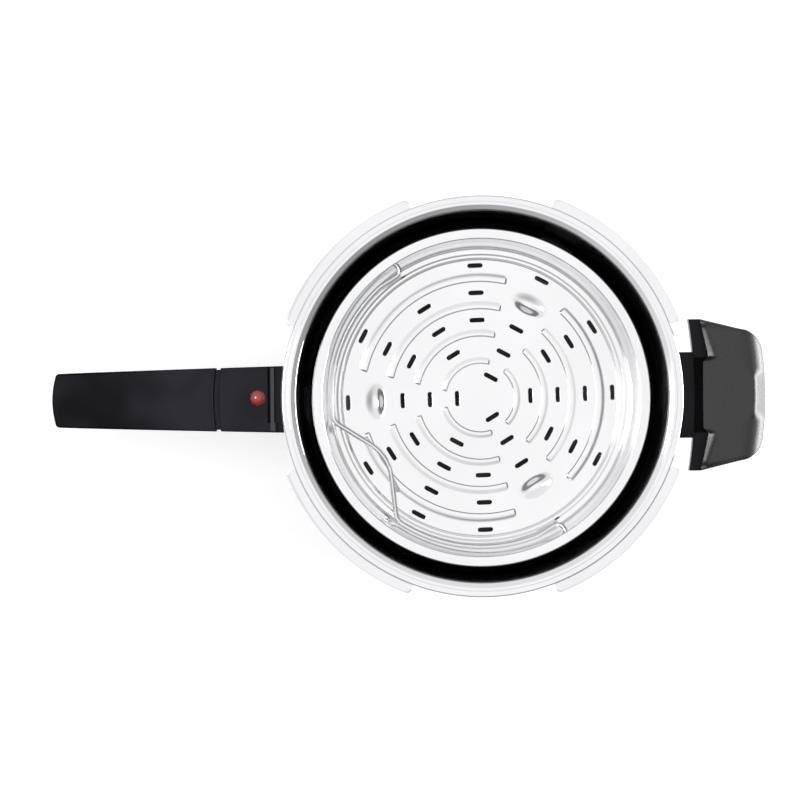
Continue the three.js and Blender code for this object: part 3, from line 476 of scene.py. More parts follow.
# sheet = profile height over (run along the profile, angle) plus the pressed relief; slots and
# pivot holes are cells whose edge closes in on the hole's outline
def makeBasket(p):
    stepTop = p["floor"] + p["stepHeight"]
    footRound, crestRound, backRound = p["stepRounds"]
    ridgeFrom = p["floorRadius"] + p["stepRun"]
    wallLine = roundedLine([
        (p["floorRadius"] - p["stepRow"], p["floor"]), (p["floorRadius"], p["floor"], footRound),
        (ridgeFrom, stepTop + p["ridge"], crestRound),
        (ridgeFrom + p["ridgeTop"], stepTop + p["ridge"], backRound),
        (p["ridgeEnd"], stepTop, backRound), (p["wallFoot"], stepTop, p["cornerRadius"]),
        (p["wallTop"], p["rimTop"], p["rimCorner"]), (p["rimRadius"], p["rimTop"], p["rimCorner"]),
        (p["rimRadius"], p["rimTop"] - p["curl"])])
    lineRun = np.concatenate([[0], wallLine[0, 0] + runAlong(wallLine)])
    lineRadius = np.concatenate([[0], wallLine[:, 0]])
    lineZ = np.concatenate([[p["floor"]], wallLine[:, 1]])
    onWall = (lineRadius > p["wallFoot"]) & (lineRadius < p["wallTop"] - 0.2)
    pivotRun = np.interp(p["floor"] + p["pivotHeight"], lineZ[onWall], lineRun[onWall])

    def surface(run, angle):
        radius, z = np.interp(run, lineRun, lineRadius), np.interp(run, lineRun, lineZ)
        x, y = radius * np.cos(angle), radius * np.sin(angle)
        return np.stack([x, y, z + np.where(radius < p["floorRadius"], pressing(x, y, p), 0)], axis=-1)

    rings = np.array([ring[0] for ring in p["slotRings"]])
    room = p["slotRoom"]
    # rows near the middle, at the slots, on the beads' two flanks, along the wall and at the pivots
    beads = np.array(p["beadRadii"])[:, None]
    innerFlank = np.concatenate([[-3.8], np.arange(-2.05, -0.8, 0.15), [-0.6]])
    outerFlank = np.outer(p["beadOuter"], np.linspace(-0.1, 1.0, 9))
    atPivot = np.concatenate([[-7.0], np.linspace(-p["pivotRoom"], p["pivotRoom"], 7), [7.0]])
    runs = np.concatenate([
        p["middleRows"], (rings[:, None] + np.linspace(-room, room, 7)).ravel(),
        (beads + innerFlank).ravel(), (beads + outerFlank).ravel(), lineRun[1:], pivotRun + atPivot])
    runs = np.unique(np.round(runs, 4))
    runs = runs[np.concatenate([[True], np.diff(runs) > p["rowGap"]])]
    turn = math.degrees(p["turn"])
    thirds, sides = np.arange(3)[:, None, None] * 120, np.array([-1, 1])[:, None]
    beadEnds = thirds + sides * (math.degrees(p["beadHalf"]) + np.array(p["beadEndSteps"])) + turn
    seam = turn + p["seamAt"]
    degrees = np.concatenate([np.arange(p["columns"]) * 360 / p["columns"], (beadEnds.ravel() - seam) % 360])
    angles = np.radians(np.unique(np.round(degrees, 4)) + seam)
    points = surface(runs[:, None], angles[None, :])
    table = numbered(points)
    closedTable = np.hstack([table, table[:, :1]])
    kept = np.ones((len(runs) - 1, len(angles)), bool)
    allPoints, faces, count = [points.reshape(-1, 3)], [], table.size
    closing = np.array([0.4, 0.75, 0.92, 0.97, 1.0])[:, None]  # loops of a cell, on the way to its hole

    def cutCell(lowRun, highRun, middle, halfAngle, toLocal, toSpace, hole, rolls):
        nonlocal count
        firstRow, lastRow = np.searchsorted(runs, np.array([lowRun, highRun]) - p["rowGap"] / 2)
        toMiddle = (middle - angles[0]) % (2 * math.pi) + angles[0]
        first = np.searchsorted(angles, toMiddle - halfAngle) - 1
        last = np.searchsorted(angles, toMiddle + halfAngle)
        kept[firstRow:lastRow, first:last] = False
        rim = edgeOf(closedTable[firstRow:lastRow + 1, first:last + 1])
        p0, q0 = toLocal(allPoints[0][rim], runs[rim // len(angles)], angles[rim % len(angles)])
        p1, q1 = roundedHole(p0, q0, *hole)
        made = toSpace(p0 + (p1 - p0) * closing, q0 + (q1 - q0) * closing)
        made[..., 2] -= rolls
        loops = np.vstack([rim, count + numbered(made)])
        faces.append(quadsOf(loops, closeColumns=True)[:, ::-1])
        allPoints.append(made.reshape(-1, 3))
        count += allPoints[-1].shape[0]

    slotRolls = p["slotRoll"] * np.array([0, 0, 0.06, 0.3, 1])[:, None]  # its edge is rolled down
    core = (p["slotLength"] - p["slotWidth"]) / 2
    for ringRadius, places, phase, left in p["slotRings"]:
        for place in set(range(places)) - set(left):
            middle = math.radians(place * 360 / places + phase) + p["turn"]
            out = np.array([math.cos(middle), math.sin(middle)])
            side = np.array([-out[1], out[0]])

            def toLocal(xyz, run, angle):
                return xyz[:, :2] @ out - ringRadius, xyz[:, :2] @ side

            def toSpace(pLocal, qLocal):
                flat = (ringRadius + pLocal)[..., None] * out + qLocal[..., None] * side
                z = p["floor"] + pressing(flat[..., 0], flat[..., 1], p)
                return np.concatenate([flat, z[..., None]], axis=-1)

            halfAngle = (p["slotLength"] / 2 + p["slotEndRoom"]) / ringRadius
            cutCell(ringRadius - room, ringRadius + room, middle, halfAngle, toLocal, toSpace,
                    (0.0, core, p["slotWidth"] / 2), slotRolls)
    pivotRadius = np.interp(pivotRun, lineRun, lineRadius)
    for middle in (p["pivotAngle"], p["pivotAngle"] + math.pi):

        def toLocal(xyz, run, angle):
            return run - pivotRun, folded(angle - middle) * pivotRadius

        def toSpace(pLocal, qLocal):
            return surface(pivotRun + pLocal, middle + qLocal / pivotRadius)

        cutCell(pivotRun - p["pivotRoom"], pivotRun + p["pivotRoom"], middle, p["pivotRoom"] / pivotRadius,
                toLocal, toSpace, (0.0, 0.0, p["pivotHole"]), 0 * slotRolls)
    faces.append(quadsOf(closedTable)[kept.ravel()][:, ::-1])
    hub = np.array([[0, 0, p["floor"]]])
    ring = closedTable[0]
    faces.append(np.stack([np.full(len(ring) - 1, count), ring[:-1], ring[1:]], axis=1))
    piece = addPiece("steamerBasket", np.vstack(allPoints + [hub]) + p["shift"], faces, p, closed=False)
    thick = piece.modifiers.new("sheet", "SOLIDIFY")
    thick.thickness = p["sheet"] * mm
    thick.offset = -1
    thick.use_even_offset = True
    piece.data.materials.append(outerSteel)
    thick.material_offset = 1  # the outer face of the sheet
    return piece


makeBasket(basket)
print("basket made")


# Bail

bail = {
    "body": "bail", "slot": "polished_steel", "finish": wireSteel, "standsFor": ["basket_bail"],
    "wire": 2.8, "pivotHeight": 69.1, "pivotAngle": math.radians(122.1), "endReach": 98.83,
    "bend": 89.83, "bendRadius": 4.0, "runRadius": 91.13, "runStart": math.radians(10), "runPoints": 24,
    "humpHalf": math.radians(23), "humpDepth": 24.5, "humpRadius": 28.0, "humpEndRadius": 8.0,
    "sag": math.radians(5), "step": 0.9, "sides": 18,
}


# round wire carried along a flat line: point + wire radius * (cos * the line's normal
# + sin * the plane's normal)
def makeBail(p):
    humpStart = math.pi / 2 - p["humpHalf"]
    run = np.linspace(p["runStart"], humpStart, p["runPoints"])
    half = [(p["endReach"], 0.0), (p["bend"], 0.0, p["bendRadius"])]
    half += [(p["runRadius"] * math.cos(a), p["runRadius"] * math.sin(a)) for a in run]
    half[-1] = (*half[-1], p["humpEndRadius"])
    other = [(-corner[0], *corner[1:]) for corner in reversed(half)]
    line = roundedLine(half + [(0.0, p["runRadius"] - p["humpDepth"], p["humpRadius"])] + other)
    length = runAlong(line)
    even = np.linspace(0, length[-1], int(length[-1] / p["step"]))
    line = np.stack([np.interp(even, length, line[:, 0]), np.interp(even, length, line[:, 1])], axis=1)
    along = np.gradient(line, axis=0)
    along /= np.linalg.norm(along, axis=1)[:, None]
    normal = np.stack([-along[:, 1], along[:, 0]], axis=1)
    # the ends are domed: the last rings draw in along a quarter circle
    fromEnd = np.minimum(even, length[-1] - even)
    dome = p["wire"] / 4
    arc = np.sqrt(np.maximum(1 - (1 - fromEnd / dome) ** 2, 0))
    swell = np.where(fromEnd < dome, 0.5 + 0.5 * arc, 1) * p["wire"] / 2
    turn = fullTurn(p["sides"])
    across = swell[:, None] * np.cos(turn)
    flat = line[:, None, :] + across[..., None] * normal[:, None, :]
    up = swell[:, None] * np.sin(turn)
    # tipped about the pivots by the sag, turned to the pivots' place, raised to their height
    y = flat[..., 1] * math.cos(p["sag"]) + up * math.sin(p["sag"])
    z = up * math.cos(p["sag"]) - flat[..., 1] * math.sin(p["sag"]) + p["pivotHeight"]
    c, s = math.cos(p["pivotAngle"]), math.sin(p["pivotAngle"])
    points = np.stack([c * flat[..., 0] - s * y, s * flat[..., 0] + c * y, z], axis=-1)
    return addPiece("wireBail", points + basket["shift"], tubeFaces(points), p)


makeBail(bail)
print("bail made")


# Mouldings


# closed moulding: plan(a, b, inset) gives the outline's points, the top and bottom are grids at
# their own heights, and rings of quarter circles round the edges join the two
def moulding(plan, along, across, topAt, bottomAt, topRound, bottomRound, topHoles=(), bottomHoles=()):
    a, b = np.meshgrid(along, across, indexing="ij")
    table = np.arange(a.size).reshape(a.shape)
    points, faces = [], []
    edge = edgeOf(table)
    count = 0

    def addPoints(xyz):
        nonlocal count
        points.append(xyz.reshape(-1, 3))
        count += points[-1].shape[0]
        return count - points[-1].shape[0]

    borders = []
    for inset, heightAt, holes in ((topRound, topAt, topHoles), (bottomRound, bottomAt, bottomHoles)):
        x, y = plan(a, b, inset)
        z = heightAt(x, y) + 0 * x
        sheet = np.stack([x, y, z], axis=-1)
        first = addPoints(sheet)
        kept = np.ones((len(along) - 1, len(across) - 1), bool)
        for hole in holes:
            rows = slice(*(np.argmin(np.abs(along - v)) for v in hole["rows"]))
            columns = slice(*(np.argmin(np.abs(across - v)) for v in hole["columns"]))
            kept[rows, columns] = False
            rim = edgeOf(table[rows.start:rows.stop + 1, columns.start:columns.stop + 1])
            near = sheet.reshape(-1, 3)[rim]
            p0, q0 = near[:, 0] - hole["at"][0], near[:, 1] - hole["at"][1]
            loops = [first + rim]
            for coreP, coreQ, radius, level in hole["loops"]:
                p1, q1 = roundedHole(p0, q0, coreP, coreQ, radius)
                ring = np.stack([hole["at"][0] + p1, hole["at"][1] + q1, np.full(len(p1), level)], axis=-1)
                loops.append(addPoints(ring) + np.arange(len(p1)))
            faces.append(quadsOf(np.array(loops), closeColumns=True))
            faces.append(loops[-1][None, :])
        faces.append(first + quadsOf(table)[kept.ravel()])
        borders.append((first + edge, z.ravel()[edge]))
    (topEdge, topZ), (bottomEdge, bottomZ) = borders
    turn = np.linspace(0, math.pi / 2, 7)[1:]  # six steps of a quarter circle
    rings = [topEdge]
    for t, radius, z in ([(t, topRound, topZ - topRound * (1 - math.cos(t))) for t in turn]
                         + [(t, bottomRound, bottomZ + bottomRound * (1 - math.cos(t))) for t in turn[::-1]]):
        x, y = plan(a.ravel()[edge], b.ravel()[edge], radius * (1 - math.sin(t)))
        rings.append(addPoints(np.stack([x, y, z], axis=-1)) + np.arange(len(edge)))
    faces.append(quadsOf(np.array(rings + [bottomEdge]), closeColumns=True))
    return np.vstack(points), faces


# several closed shells as one mesh
def together(shells):
    starts = np.cumsum([0] + [len(points) for points, faces in shells])
    return (np.vstack([points for points, faces in shells]),
            [block + start for (points, faces), start in zip(shells, starts) for block in faces])


bolt = {"radius": 5.3, "edge": 0.25, "depth": 4.3}


# a round hole for a bolt's head, with a softened edge
def boltHole(x, y, face, rows, columns):
    radius, edge = bolt["radius"], bolt["edge"]
    return {"at": (x, y), "rows": rows, "columns": columns,
            "loops": [(0.0, 0.0, radius + edge, face), (0.0, 0.0, radius, face + edge),
                      (0.0, 0.0, radius, face + bolt["depth"])]}


handle = {
    "body": "pot", "slot": "black_moulding", "finish": shadedGripMoulding,
    "top": 127.1, "height": 24.0, "endHeight": 21.0, "potSide": 113.3, "frontFrom": 110.0, "seam": 156.2,
    "gripFrom": 159.2, "gripEnd": 254.6, "frontHalf": 20.0, "seamHalf": 18.8, "endHalf": 15.95,
    "endArc": 52.0, "seamArc": 130.0, "shift": -1.0, "topRound": 1.2, "bottomRound": 6.0,
    "seamRound": 0.2, "endRound": 1.6, "band": 2.7, "bandInset": 1.0, "bandLift": 0.02, "bandRound": 0.8,
    "slotFrom": 125.4, "slotTo": 127.0, "slotDepth": 4.0, "slotEdge": 0.08, "ridgeTop": 2.2,
    "ridgeSlope": 0.4, "frontDrop": 2.0, "stopFrom": 14.9, "stopAhead": 1.7, "stopEdge": 0.003,
    "buttonAt": 133.0, "buttonRoom": (4.95, 6.2), "buttonHole": 4.7, "buttonEdge": 0.2, "flangeHole": 6.25,
    "lip": 2.5, "tangTop": 118.1, "tangGap": 0.2,
    "frontScrew": 146.2, "frontScrewRoom": 6.3, "gripScrew": 205.2, "gripScrewRoom": 6.4,
}


# how far a bowed end falls back from its middle at y
def bowBack(y, radius):
    return radius - np.sqrt(radius ** 2 - y ** 2)


# the same at the seam
def seamBow(y):
    return bowBack(y, handle["seamArc"])


# bar along -X between two bowed ends; x = -(place along it - the bow's fall-back, which fades out
# over the fifth of the length at that end)
def barPlan(p, start, end, startHalf, endHalf, startBow, endBow, corner):
    def plan(a, b, inset):
        place = start + inset + a * (end - start - 2 * inset)
        side = b * (startHalf + (endHalf - startHalf) * a - inset)
        fadeStart, fadeEnd = np.clip(1 - a * 5, 0, 1), np.clip(a * 5 - 4, 0, 1)
        rounding = max(corner - inset, p["seamRound"])
        over = np.clip(np.abs(side) - (endHalf - inset - rounding), 0, rounding)
        cornerBack = rounding - np.sqrt(rounding ** 2 - over ** 2)
        back = startBow(side) * fadeStart + (endBow(side) + cornerBack) * fadeEnd
        return -(place - back), side + p["shift"]
    return plan


# places from low to high, about a step apart
def evenly(low, high, step):
    return np.linspace(low, high, max(2, int((high - low) / step) + 1))


# all places in rising order, each once
def merged(*parts):
    joined = np.unique(np.round(np.concatenate([np.atleast_1d(part) for part in parts]), 5))
    return joined[np.concatenate([[True], np.diff(joined) > 1e-4])]


# block at the pot: a bar whose top follows one line of heights at the lid guide and one at its stop,
# with the button's hole from above, the screw's from below, and a lower band that runs on to the grip
def makeFront(p):
    start, end, top = p["potSide"], p["seam"], p["top"]
    bottom = top - p["height"]

    def halfAt(place):
        share = (place - p["frontFrom"]) / (end - p["frontFrom"])
        return p["frontHalf"] + (p["seamHalf"] - p["frontHalf"]) * share

    def shareAt(place):
        return (place - start - p["topRound"]) / (end - start - 2 * p["topRound"])

    plan = barPlan(p, start, end, halfAt(start), p["seamHalf"], lambda y: bowBack(y + p["shift"], start),
                   seamBow, p["seamRound"])
    stopB = -(p["stopFrom"] + p["shift"]) / (halfAt(p["slotFrom"]) - p["topRound"])
    crest, soft = p["slotFrom"] - p["ridgeTop"], p["slotEdge"]
    low, deep = top - p["frontDrop"], top - p["slotDepth"]
    ridge = np.array([(0, low), (crest - p["ridgeSlope"], low), (crest, top), (p["slotFrom"] - soft, top),
                      (p["slotFrom"] + soft, deep), (p["slotTo"] - soft, deep), (p["slotTo"] + soft, top),
                      (p["gripEnd"], top)])
    stopCrest = crest - p["stopAhead"]
    stop = np.array([(0, low), (stopCrest - p["ridgeSlope"], low), (stopCrest, top), (p["gripEnd"], top)])

    # lid guide: a drop at the pot, a slope up to the ridge, the slot; towards -Y the stop closes the slot
    def topAt(x, y):
        b = (y - p["shift"]) / (halfAt(-x) - p["topRound"])
        onStop, onRidge = (np.interp(-x, line[:, 0], line[:, 1]) for line in (stop, ridge))
        return np.where(b < stopB, onStop, onRidge)

    edges = np.concatenate([ridge[1:-1, 0], stop[1:-1, 0]])
    holeRows = (shareAt(p["buttonAt"] - p["buttonRoom"][0]), shareAt(p["buttonAt"] + p["buttonRoom"][1]))
    screwRows = tuple(shareAt(p["frontScrew"] + side * p["frontScrewRoom"]) for side in (-1, 1))
    along = merged(0, 1, shareAt(edges), evenly(*holeRows, 0.12), evenly(holeRows[1], screwRows[0], 0.06),
                   evenly(*screwRows, 0.05), evenly(screwRows[1], 1, 0.02), evenly(0, holeRows[0], 0.06))
    holeColumns, screwColumns = (-0.36, 0.36), (-0.45, 0.6)
    stopLow, stopHigh = stopB - p["stopEdge"], stopB + p["stopEdge"]
    across = merged(evenly(-1, stopLow, 0.06), evenly(stopHigh, screwColumns[0], 0.09),
                    evenly(*holeColumns, 0.09), 0.46, evenly(screwColumns[1], 1, 0.1))
    hole, edge, lip = p["buttonHole"], p["buttonEdge"], top - p["lip"]
    buttonHole = {"at": (-p["buttonAt"], 0.0), "rows": holeRows, "columns": holeColumns, "loops": [
        (0, 0, hole + edge, top), (0, 0, hole, top - edge), (0, 0, hole, lip), (0, 0, p["flangeHole"], lip),
        (0, 0, p["flangeHole"], p["tangTop"] + p["tangGap"])]}
    screw = boltHole(-p["frontScrew"], 0.0, bottom, screwRows, screwColumns)
    block = moulding(plan, along, across, topAt, lambda x, y: bottom, p["topRound"], p["bottomRound"],
                     [buttonHole], [screw])
    bandHalf, bandTop = p["seamHalf"] - p["bandInset"], top - p["bandInset"]
    bandPlan = barPlan(p, end - 3 * p["band"], end + p["band"], bandHalf, bandHalf, seamBow, seamBow,
                       p["seamRound"])
    band = moulding(bandPlan, evenly(0, 1, 0.05), evenly(-1, 1, 0.06), lambda x, y: bandTop,
                    lambda x, y: bottom + p["bandLift"], p["bandRound"], p["bottomRound"])
    piece = addPiece("handleFront", *together([block, band]), {**p, "standsFor": ["handle_front"]},
                     sharpAngle=32)

    # the lid has rubbed the guide's top bright
    def isRubbed(centres, normals):
        onTop = (normals[:, 2] > 0.95) & (centres[:, 2] > top - 0.2)
        return onTop & (-centres[:, 0] > stopCrest) & (-centres[:, 0] < p["slotFrom"])

    paint(piece, helperMoulding, isRubbed)
    return piece


# grip behind the seam: a bar with a level top and a bottom that rises evenly towards its end
def makeGrip(p):
    start, end = p["gripFrom"], p["gripEnd"]
    slope = (p["height"] - p["endHeight"]) / (end - start)

    def shareAt(place):
        return (place - start - p["bottomRound"]) / (end - start - 2 * p["bottomRound"])

    def bottomAt(x, y):
        return p["top"] - p["height"] + slope * np.clip(-x - start, 0, None)

    plan = barPlan(p, start, end, p["seamHalf"], p["endHalf"], seamBow, lambda y: bowBack(y, p["endArc"]),
                   p["endRound"])
    screwRows = tuple(shareAt(p["gripScrew"] + side * p["gripScrewRoom"]) for side in (-1, 1))
    screwColumns = (-0.6, 0.7)
    along = merged(evenly(0, screwRows[0], 0.025), evenly(*screwRows, 0.025), evenly(screwRows[1], 1, 0.025))
    across = merged(-0.97, -0.93, 0.93, 0.97, evenly(-1, screwColumns[0], 0.08),
                    evenly(*screwColumns, 0.13), evenly(screwColumns[1], 1, 0.08))
    screw = boltHole(-p["gripScrew"], 0.0, bottomAt(-p["gripScrew"], 0.0), screwRows, screwColumns)
    bar = moulding(plan, along, across, lambda x, y: p["top"], bottomAt, p["topRound"], p["bottomRound"],
                   (), [screw])
    return addPiece("handleGrip", *bar, {**p, "standsFor": ["handle_grip"]}, sharpAngle=32)


makeFront(handle)
makeGrip(handle)

button = {
    "body": "button", "slot": "red_plastic", "finish": redPlastic, "standsFor": ["catch_button"],
    "at": -133.0, "radius": 4.45, "edge": 0.25, "edgeRound": 0.2, "top": 127.1, "dome": 1.8, "domeRows": 18,
    "flangeRadius": 6.0, "flange": 1.5, "shoulder": 124.3, "columns": 64,
}


# dome, stem and flange spun round the button's own axis; the dome is an arc of (r^2 + h^2) / 2h
def makeButton(p):
    arc = (p["radius"] ** 2 + p["dome"] ** 2) / (2 * p["dome"])
    lean = np.linspace(0, math.asin((p["radius"] - p["edge"]) / arc), p["domeRows"])
    crown = p["top"] + p["dome"]
    dome = np.stack([arc * np.sin(lean), crown - arc * (1 - np.cos(lean))], axis=1)
    flangeEnd = p["shoulder"] - p["flange"]
    stem = roundedLine([
        tuple(dome[-1]), (p["radius"], dome[-1, 1] - p["edge"], p["edgeRound"]), (p["radius"], p["shoulder"]),
        (p["flangeRadius"], p["shoulder"]), (p["flangeRadius"], flangeEnd), (0.0, flangeEnd)])
    points = spun(np.vstack([dome[:-1], stem]), fullTurn(p["columns"]))
    points[..., 0] += p["at"]
    return addPiece("catchButton", points, ringFaces(points), p)


spring = {
    "body": "pot", "slot": "plated_steel", "finish": zincSteel, "standsFor": ["button_spring"],
    "wire": 0.7, "turns": 3, "turnSteps": 48, "sides": 14, "keep": 0.5,
}


# round wire carried along a helix that fills the solid's box
def makeSpring(p):
    low, high = (np.array(corner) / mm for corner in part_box("button_spring"))
    middle = (low + high) / 2
    radius = (high[0] - low[0] - p["wire"]) / 2
    rise = high[2] - low[2] - p["wire"]
    angle = np.linspace(0, 2 * math.pi * p["turns"], p["turns"] * p["turnSteps"] + 1)
    level = 0 * angle
    outwards = np.stack([np.cos(angle), np.sin(angle), level], axis=1)
    height = low[2] + p["wire"] / 2 + rise * angle / angle[-1]
    line = radius * outwards + np.stack([level + middle[0], level + middle[1], height], axis=1)
    along = np.stack([-radius * np.sin(angle), radius * np.cos(angle), level + rise / angle[-1]], axis=1)
    along /= np.linalg.norm(along, axis=1)[:, None]
    upwards = np.cross(outwards, along)
    turn = fullTurn(p["sides"])[:, None]
    section = np.cos(turn) * outwards[:, None, :] + np.sin(turn) * upwards[:, None, :]
    points = line[:, None, :] + p["wire"] / 2 * section
    piece = addPiece("buttonSpring", points, tubeFaces(points), p)
    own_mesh(piece)
    return piece


makeButton(button)
makeSpring(spring)
print("long handle made")


# Helper handle

helper = {
    "body": "pot", "slot": "black_moulding", "finish": helperMoulding, "standsFor": ["helper_handle"],
    "inner": 122.8, "outer": 168.5, "innerHalf": 45.0, "outerHalf": 39.5, "innerBow": 3.5, "outerBow": 4.0,
    "corner": 13.0, "top": 127.1, "height": 20.0, "topRound": 1.2, "bottomRound": 3.0,
    "ledge": 6.4, "ledgeDrop": 6.0, "ledgeBow": (1.8, 2.8, 4.3), "stepFrom": 0.43, "stepWide": 0.10,
    "stepColumns": (0.44, 0.46, 0.50, 0.54), "wingFrom": 0.53, "wingWide": 0.45,
    "lipReach": (8.0, 3.8), "lipSlope": 0.56, "lipBend": 0.60, "lipHeight": 3.1,
    "lipFrom": 0.45, "lipWide": 0.08,
    "scoopInner": 27.0, "scoopOuter": 15.0, "scoopDepth": 0.8, "scoopEdge": 1.25, "scoopFade": 8.0,
    "chamfer": 7.1, "chamferSlope": 0.70, "flatHalf": 10.0, "flatFade": 6.0, "outerEdge": 0.3,
    "sideRound": 4.0, "sideFall": 0.7,
    "neckHalf": 25.5, "neckTop": 120.1, "neckHeight": 16.0, "neckFall": 0.5, "neckOverlap": 2.0,
    "neckRounds": (1.0, 1.5), "potSide": 113.3,
    "hollowAt": (143.6, 29.75), "hollowHalf": (7.0, 6.25), "hollowRound": 2.0, "hollowEdge": 0.4,
    "hollowRoof": 117.1, "hollowRows": (1.03, 1.88), "hollowColumns": (0.52, 0.965),
    "screwAt": (137.7, 12.0), "screwRows": (0.8, 1.40), "screwColumns": (0.12, 0.48),
    # the last two set where the ledge's middle is painted near-black as shade in the groove
    "grainReach": 6.0, "coarseFrom": 3.0, "coarseHalf": 22.5,
}


# share of the way out along a wing at a share b of the half width
def alongWing(b, p):
    return np.clip((np.abs(b) - p["wingFrom"]) / p["wingWide"], 0, 1)


# the ledge line's bow at b: level in the middle, a step out to the wings, then falling back
def ledgeBow(b, p):
    middle, step, fall = p["ledgeBow"]
    return middle + step * smoothStep((np.abs(b) - p["stepFrom"]) / p["stepWide"]) - fall * alongWing(b, p)


# a runs 0..1 over the ledge and 1..2 over the body: x lies between the hollow inner edge, the ledge line
# and the outer edge
def helperPlan(p):
    def plan(a, b, inset):
        rounding = p["corner"] - min(inset, p["topRound"])
        endInset = inset - (1 - p["outerEdge"] / p["topRound"]) * min(inset, p["topRound"])
        y = b * (p["innerHalf"] + (p["outerHalf"] - p["innerHalf"]) * np.clip(a - 1, 0, 1) - inset)
        ledgeLine = p["inner"] + p["ledge"] + ledgeBow(b, p)
        over = np.clip(np.abs(y) - (p["outerHalf"] - inset - rounding), 0, rounding)
        cornerBack = rounding - np.sqrt(rounding ** 2 - over ** 2)
        outer = p["outer"] - endInset - p["outerBow"] * b ** 2 - cornerBack
        first = p["inner"] + inset + p["innerBow"] * (1 - b ** 2)
        onLedge = first + (ledgeLine - first) * a
        return np.where(a < 1, onLedge, ledgeLine + (outer - ledgeLine) * (a - 1)), y
    return plan


# body with two hollows and two bolt holes from below, and a neck that reaches from the pot into it
def makeHelper(p):
    plan = helperPlan(p)
    bottom = p["top"] - p["height"]
    bodyFrom, neckEnd = p["inner"] + p["ledge"], p["inner"] + p["innerBow"]

    def sideAt(x):
        share = np.clip((x - bodyFrom) / (p["outer"] - bodyFrom), 0, 1)
        return p["innerHalf"] + (p["outerHalf"] - p["innerHalf"]) * share

    # ledge, then the body's top: lips rise along the wings' inner edges, and the middle is scooped out
    def topAt(x, y):
        b = np.clip(np.abs(y) / (p["innerHalf"] - p["topRound"]), 0, 1)
        behind = x - bodyFrom - ledgeBow(b, p)
        wide, narrow = p["lipReach"]
        reach = wide + (narrow - wide) * alongWing(b, p)
        over, bend = np.clip(1 - behind / reach, 0, 1), p["lipBend"]
        lip = p["lipSlope"] * reach * np.where(over < bend, over ** 2 / (2 * bend), over - bend / 2)
        lip = lip * smoothStep((b - p["lipFrom"]) / p["lipWide"]) - p["lipHeight"]
        along = np.clip(behind / (p["outer"] - bodyFrom - p["innerBow"]), 0, 1)
        half = p["scoopInner"] + (p["scoopOuter"] - p["scoopInner"]) * along
        dip = p["scoopDepth"] * smoothStep((1 - np.abs(y) / half) * p["scoopEdge"])
        # outwards the top ends in a slope, flat in the middle and rounded at the wings, and the scoop
        # runs out before it
        toEnd = p["outer"] - p["outerEdge"] - p["outerBow"] * (y / p["outerHalf"]) ** 2 - x
        flat = np.clip(p["chamfer"] - toEnd, 0, None)
        soft = np.clip(2 * p["chamfer"] - toEnd, 0, None) ** 2 / (4 * p["chamfer"])
        slope = flat + (soft - flat) * smoothStep((np.abs(y) - p["flatHalf"]) / p["flatFade"])
        dip = dip * smoothStep((toEnd - p["chamfer"]) / p["scoopFade"])
        toSide = sideAt(x) - p["topRound"] - np.abs(y)
        turn = np.clip(1 - toSide / p["sideRound"], 0, 1)
        side = p["sideFall"] * p["sideRound"] * (1 - np.sqrt(np.maximum(1 - turn ** 2, 0)))
        bodyTop = p["top"] + lip - dip - p["chamferSlope"] * slope - side
        return np.where(behind < 0, p["top"] - p["ledgeDrop"], bodyTop)

    along = merged(evenly(0, 0.985, 0.25), 0.995, 1.003, 1.006, evenly(1.01, 1.06, 0.01),
                   evenly(1.06, 1.3, 0.03), evenly(1.3, 1.92, 0.05), 1.775, 1.785, 1.795,
                   evenly(1.92, 2, 0.02), 1.99, 1.997, p["hollowRows"], p["screwRows"])
    columns = np.concatenate([p["hollowColumns"], p["screwColumns"], p["stepColumns"]])
    across = merged(evenly(-1, -0.9, 0.02), evenly(-0.9, 0.9, 0.03), evenly(0.9, 1, 0.02), columns, -columns)
    rim, edge = p["hollowRound"], p["hollowEdge"]
    core = tuple(half - rim for half in p["hollowHalf"])
    holes = []
    for side in (-1, 1):
        holes.append({
            "at": (p["hollowAt"][0], side * p["hollowAt"][1]), "rows": p["hollowRows"],
            "columns": sorted(side * b for b in p["hollowColumns"]),
            "loops": [(*core, rim + edge, bottom), (*core, rim, bottom + edge),
                      (*core, rim, p["hollowRoof"])]})
        holes.append(boltHole(p["screwAt"][0], side * p["screwAt"][1], bottom, p["screwRows"],
                              sorted(side * b for b in p["screwColumns"])))
    body = moulding(plan, along, across, topAt, lambda x, y: bottom, p["topRound"], p["bottomRound"],
                    (), holes)

    def neckPlan(a, b, inset):
        y = b * (p["neckHalf"] - inset)
        start = np.sqrt(p["potSide"] ** 2 - y ** 2) + inset
        return start + (neckEnd + p["neckOverlap"] - start) * a, y

    # the neck's top falls towards the pot
    def neckTopAt(x, y):
        return p["neckTop"] - p["neckFall"] * np.clip((neckEnd - x) / (neckEnd - p["potSide"]), 0, 1)

    neck = moulding(neckPlan, evenly(0, 1, 0.1), evenly(-1, 1, 0.05), neckTopAt,
                    lambda x, y: p["neckTop"] - p["neckHeight"], *p["neckRounds"])
    piece = addPiece("helperHandle", *together([body, neck]), p, sharpAngle=35)

    # neck and ledge get a matte finish with the mould's grain; in the middle, between the neck and the body,
    # the ledge is painted near-black as shade in the groove
    def isGrained(centres, normals):
        isLow = (centres[:, 2] < p["top"] - p["ledgeDrop"] + 0.1) & (normals[:, 2] > 0.2)
        return isLow & (centres[:, 0] < bodyFrom + p["grainReach"])

    # painted shade: the ledge's middle between the neck and the body
    def isGrooveShade(centres, normals):
        onLedge = np.abs(centres[:, 2] - p["top"] + p["ledgeDrop"]) < 1.0
        inMiddle = (centres[:, 0] > p["inner"] + p["coarseFrom"]) & (np.abs(centres[:, 1]) < p["coarseHalf"])
        return isGrained(centres, normals) & onLedge & inMiddle

    paint(piece, matteMoulding, isGrained)
    paint(piece, grooveShadeMoulding, isGrooveShade)
    return piece


makeHelper(helper)
print("helper handle made")


# Finishes on the solids that stay

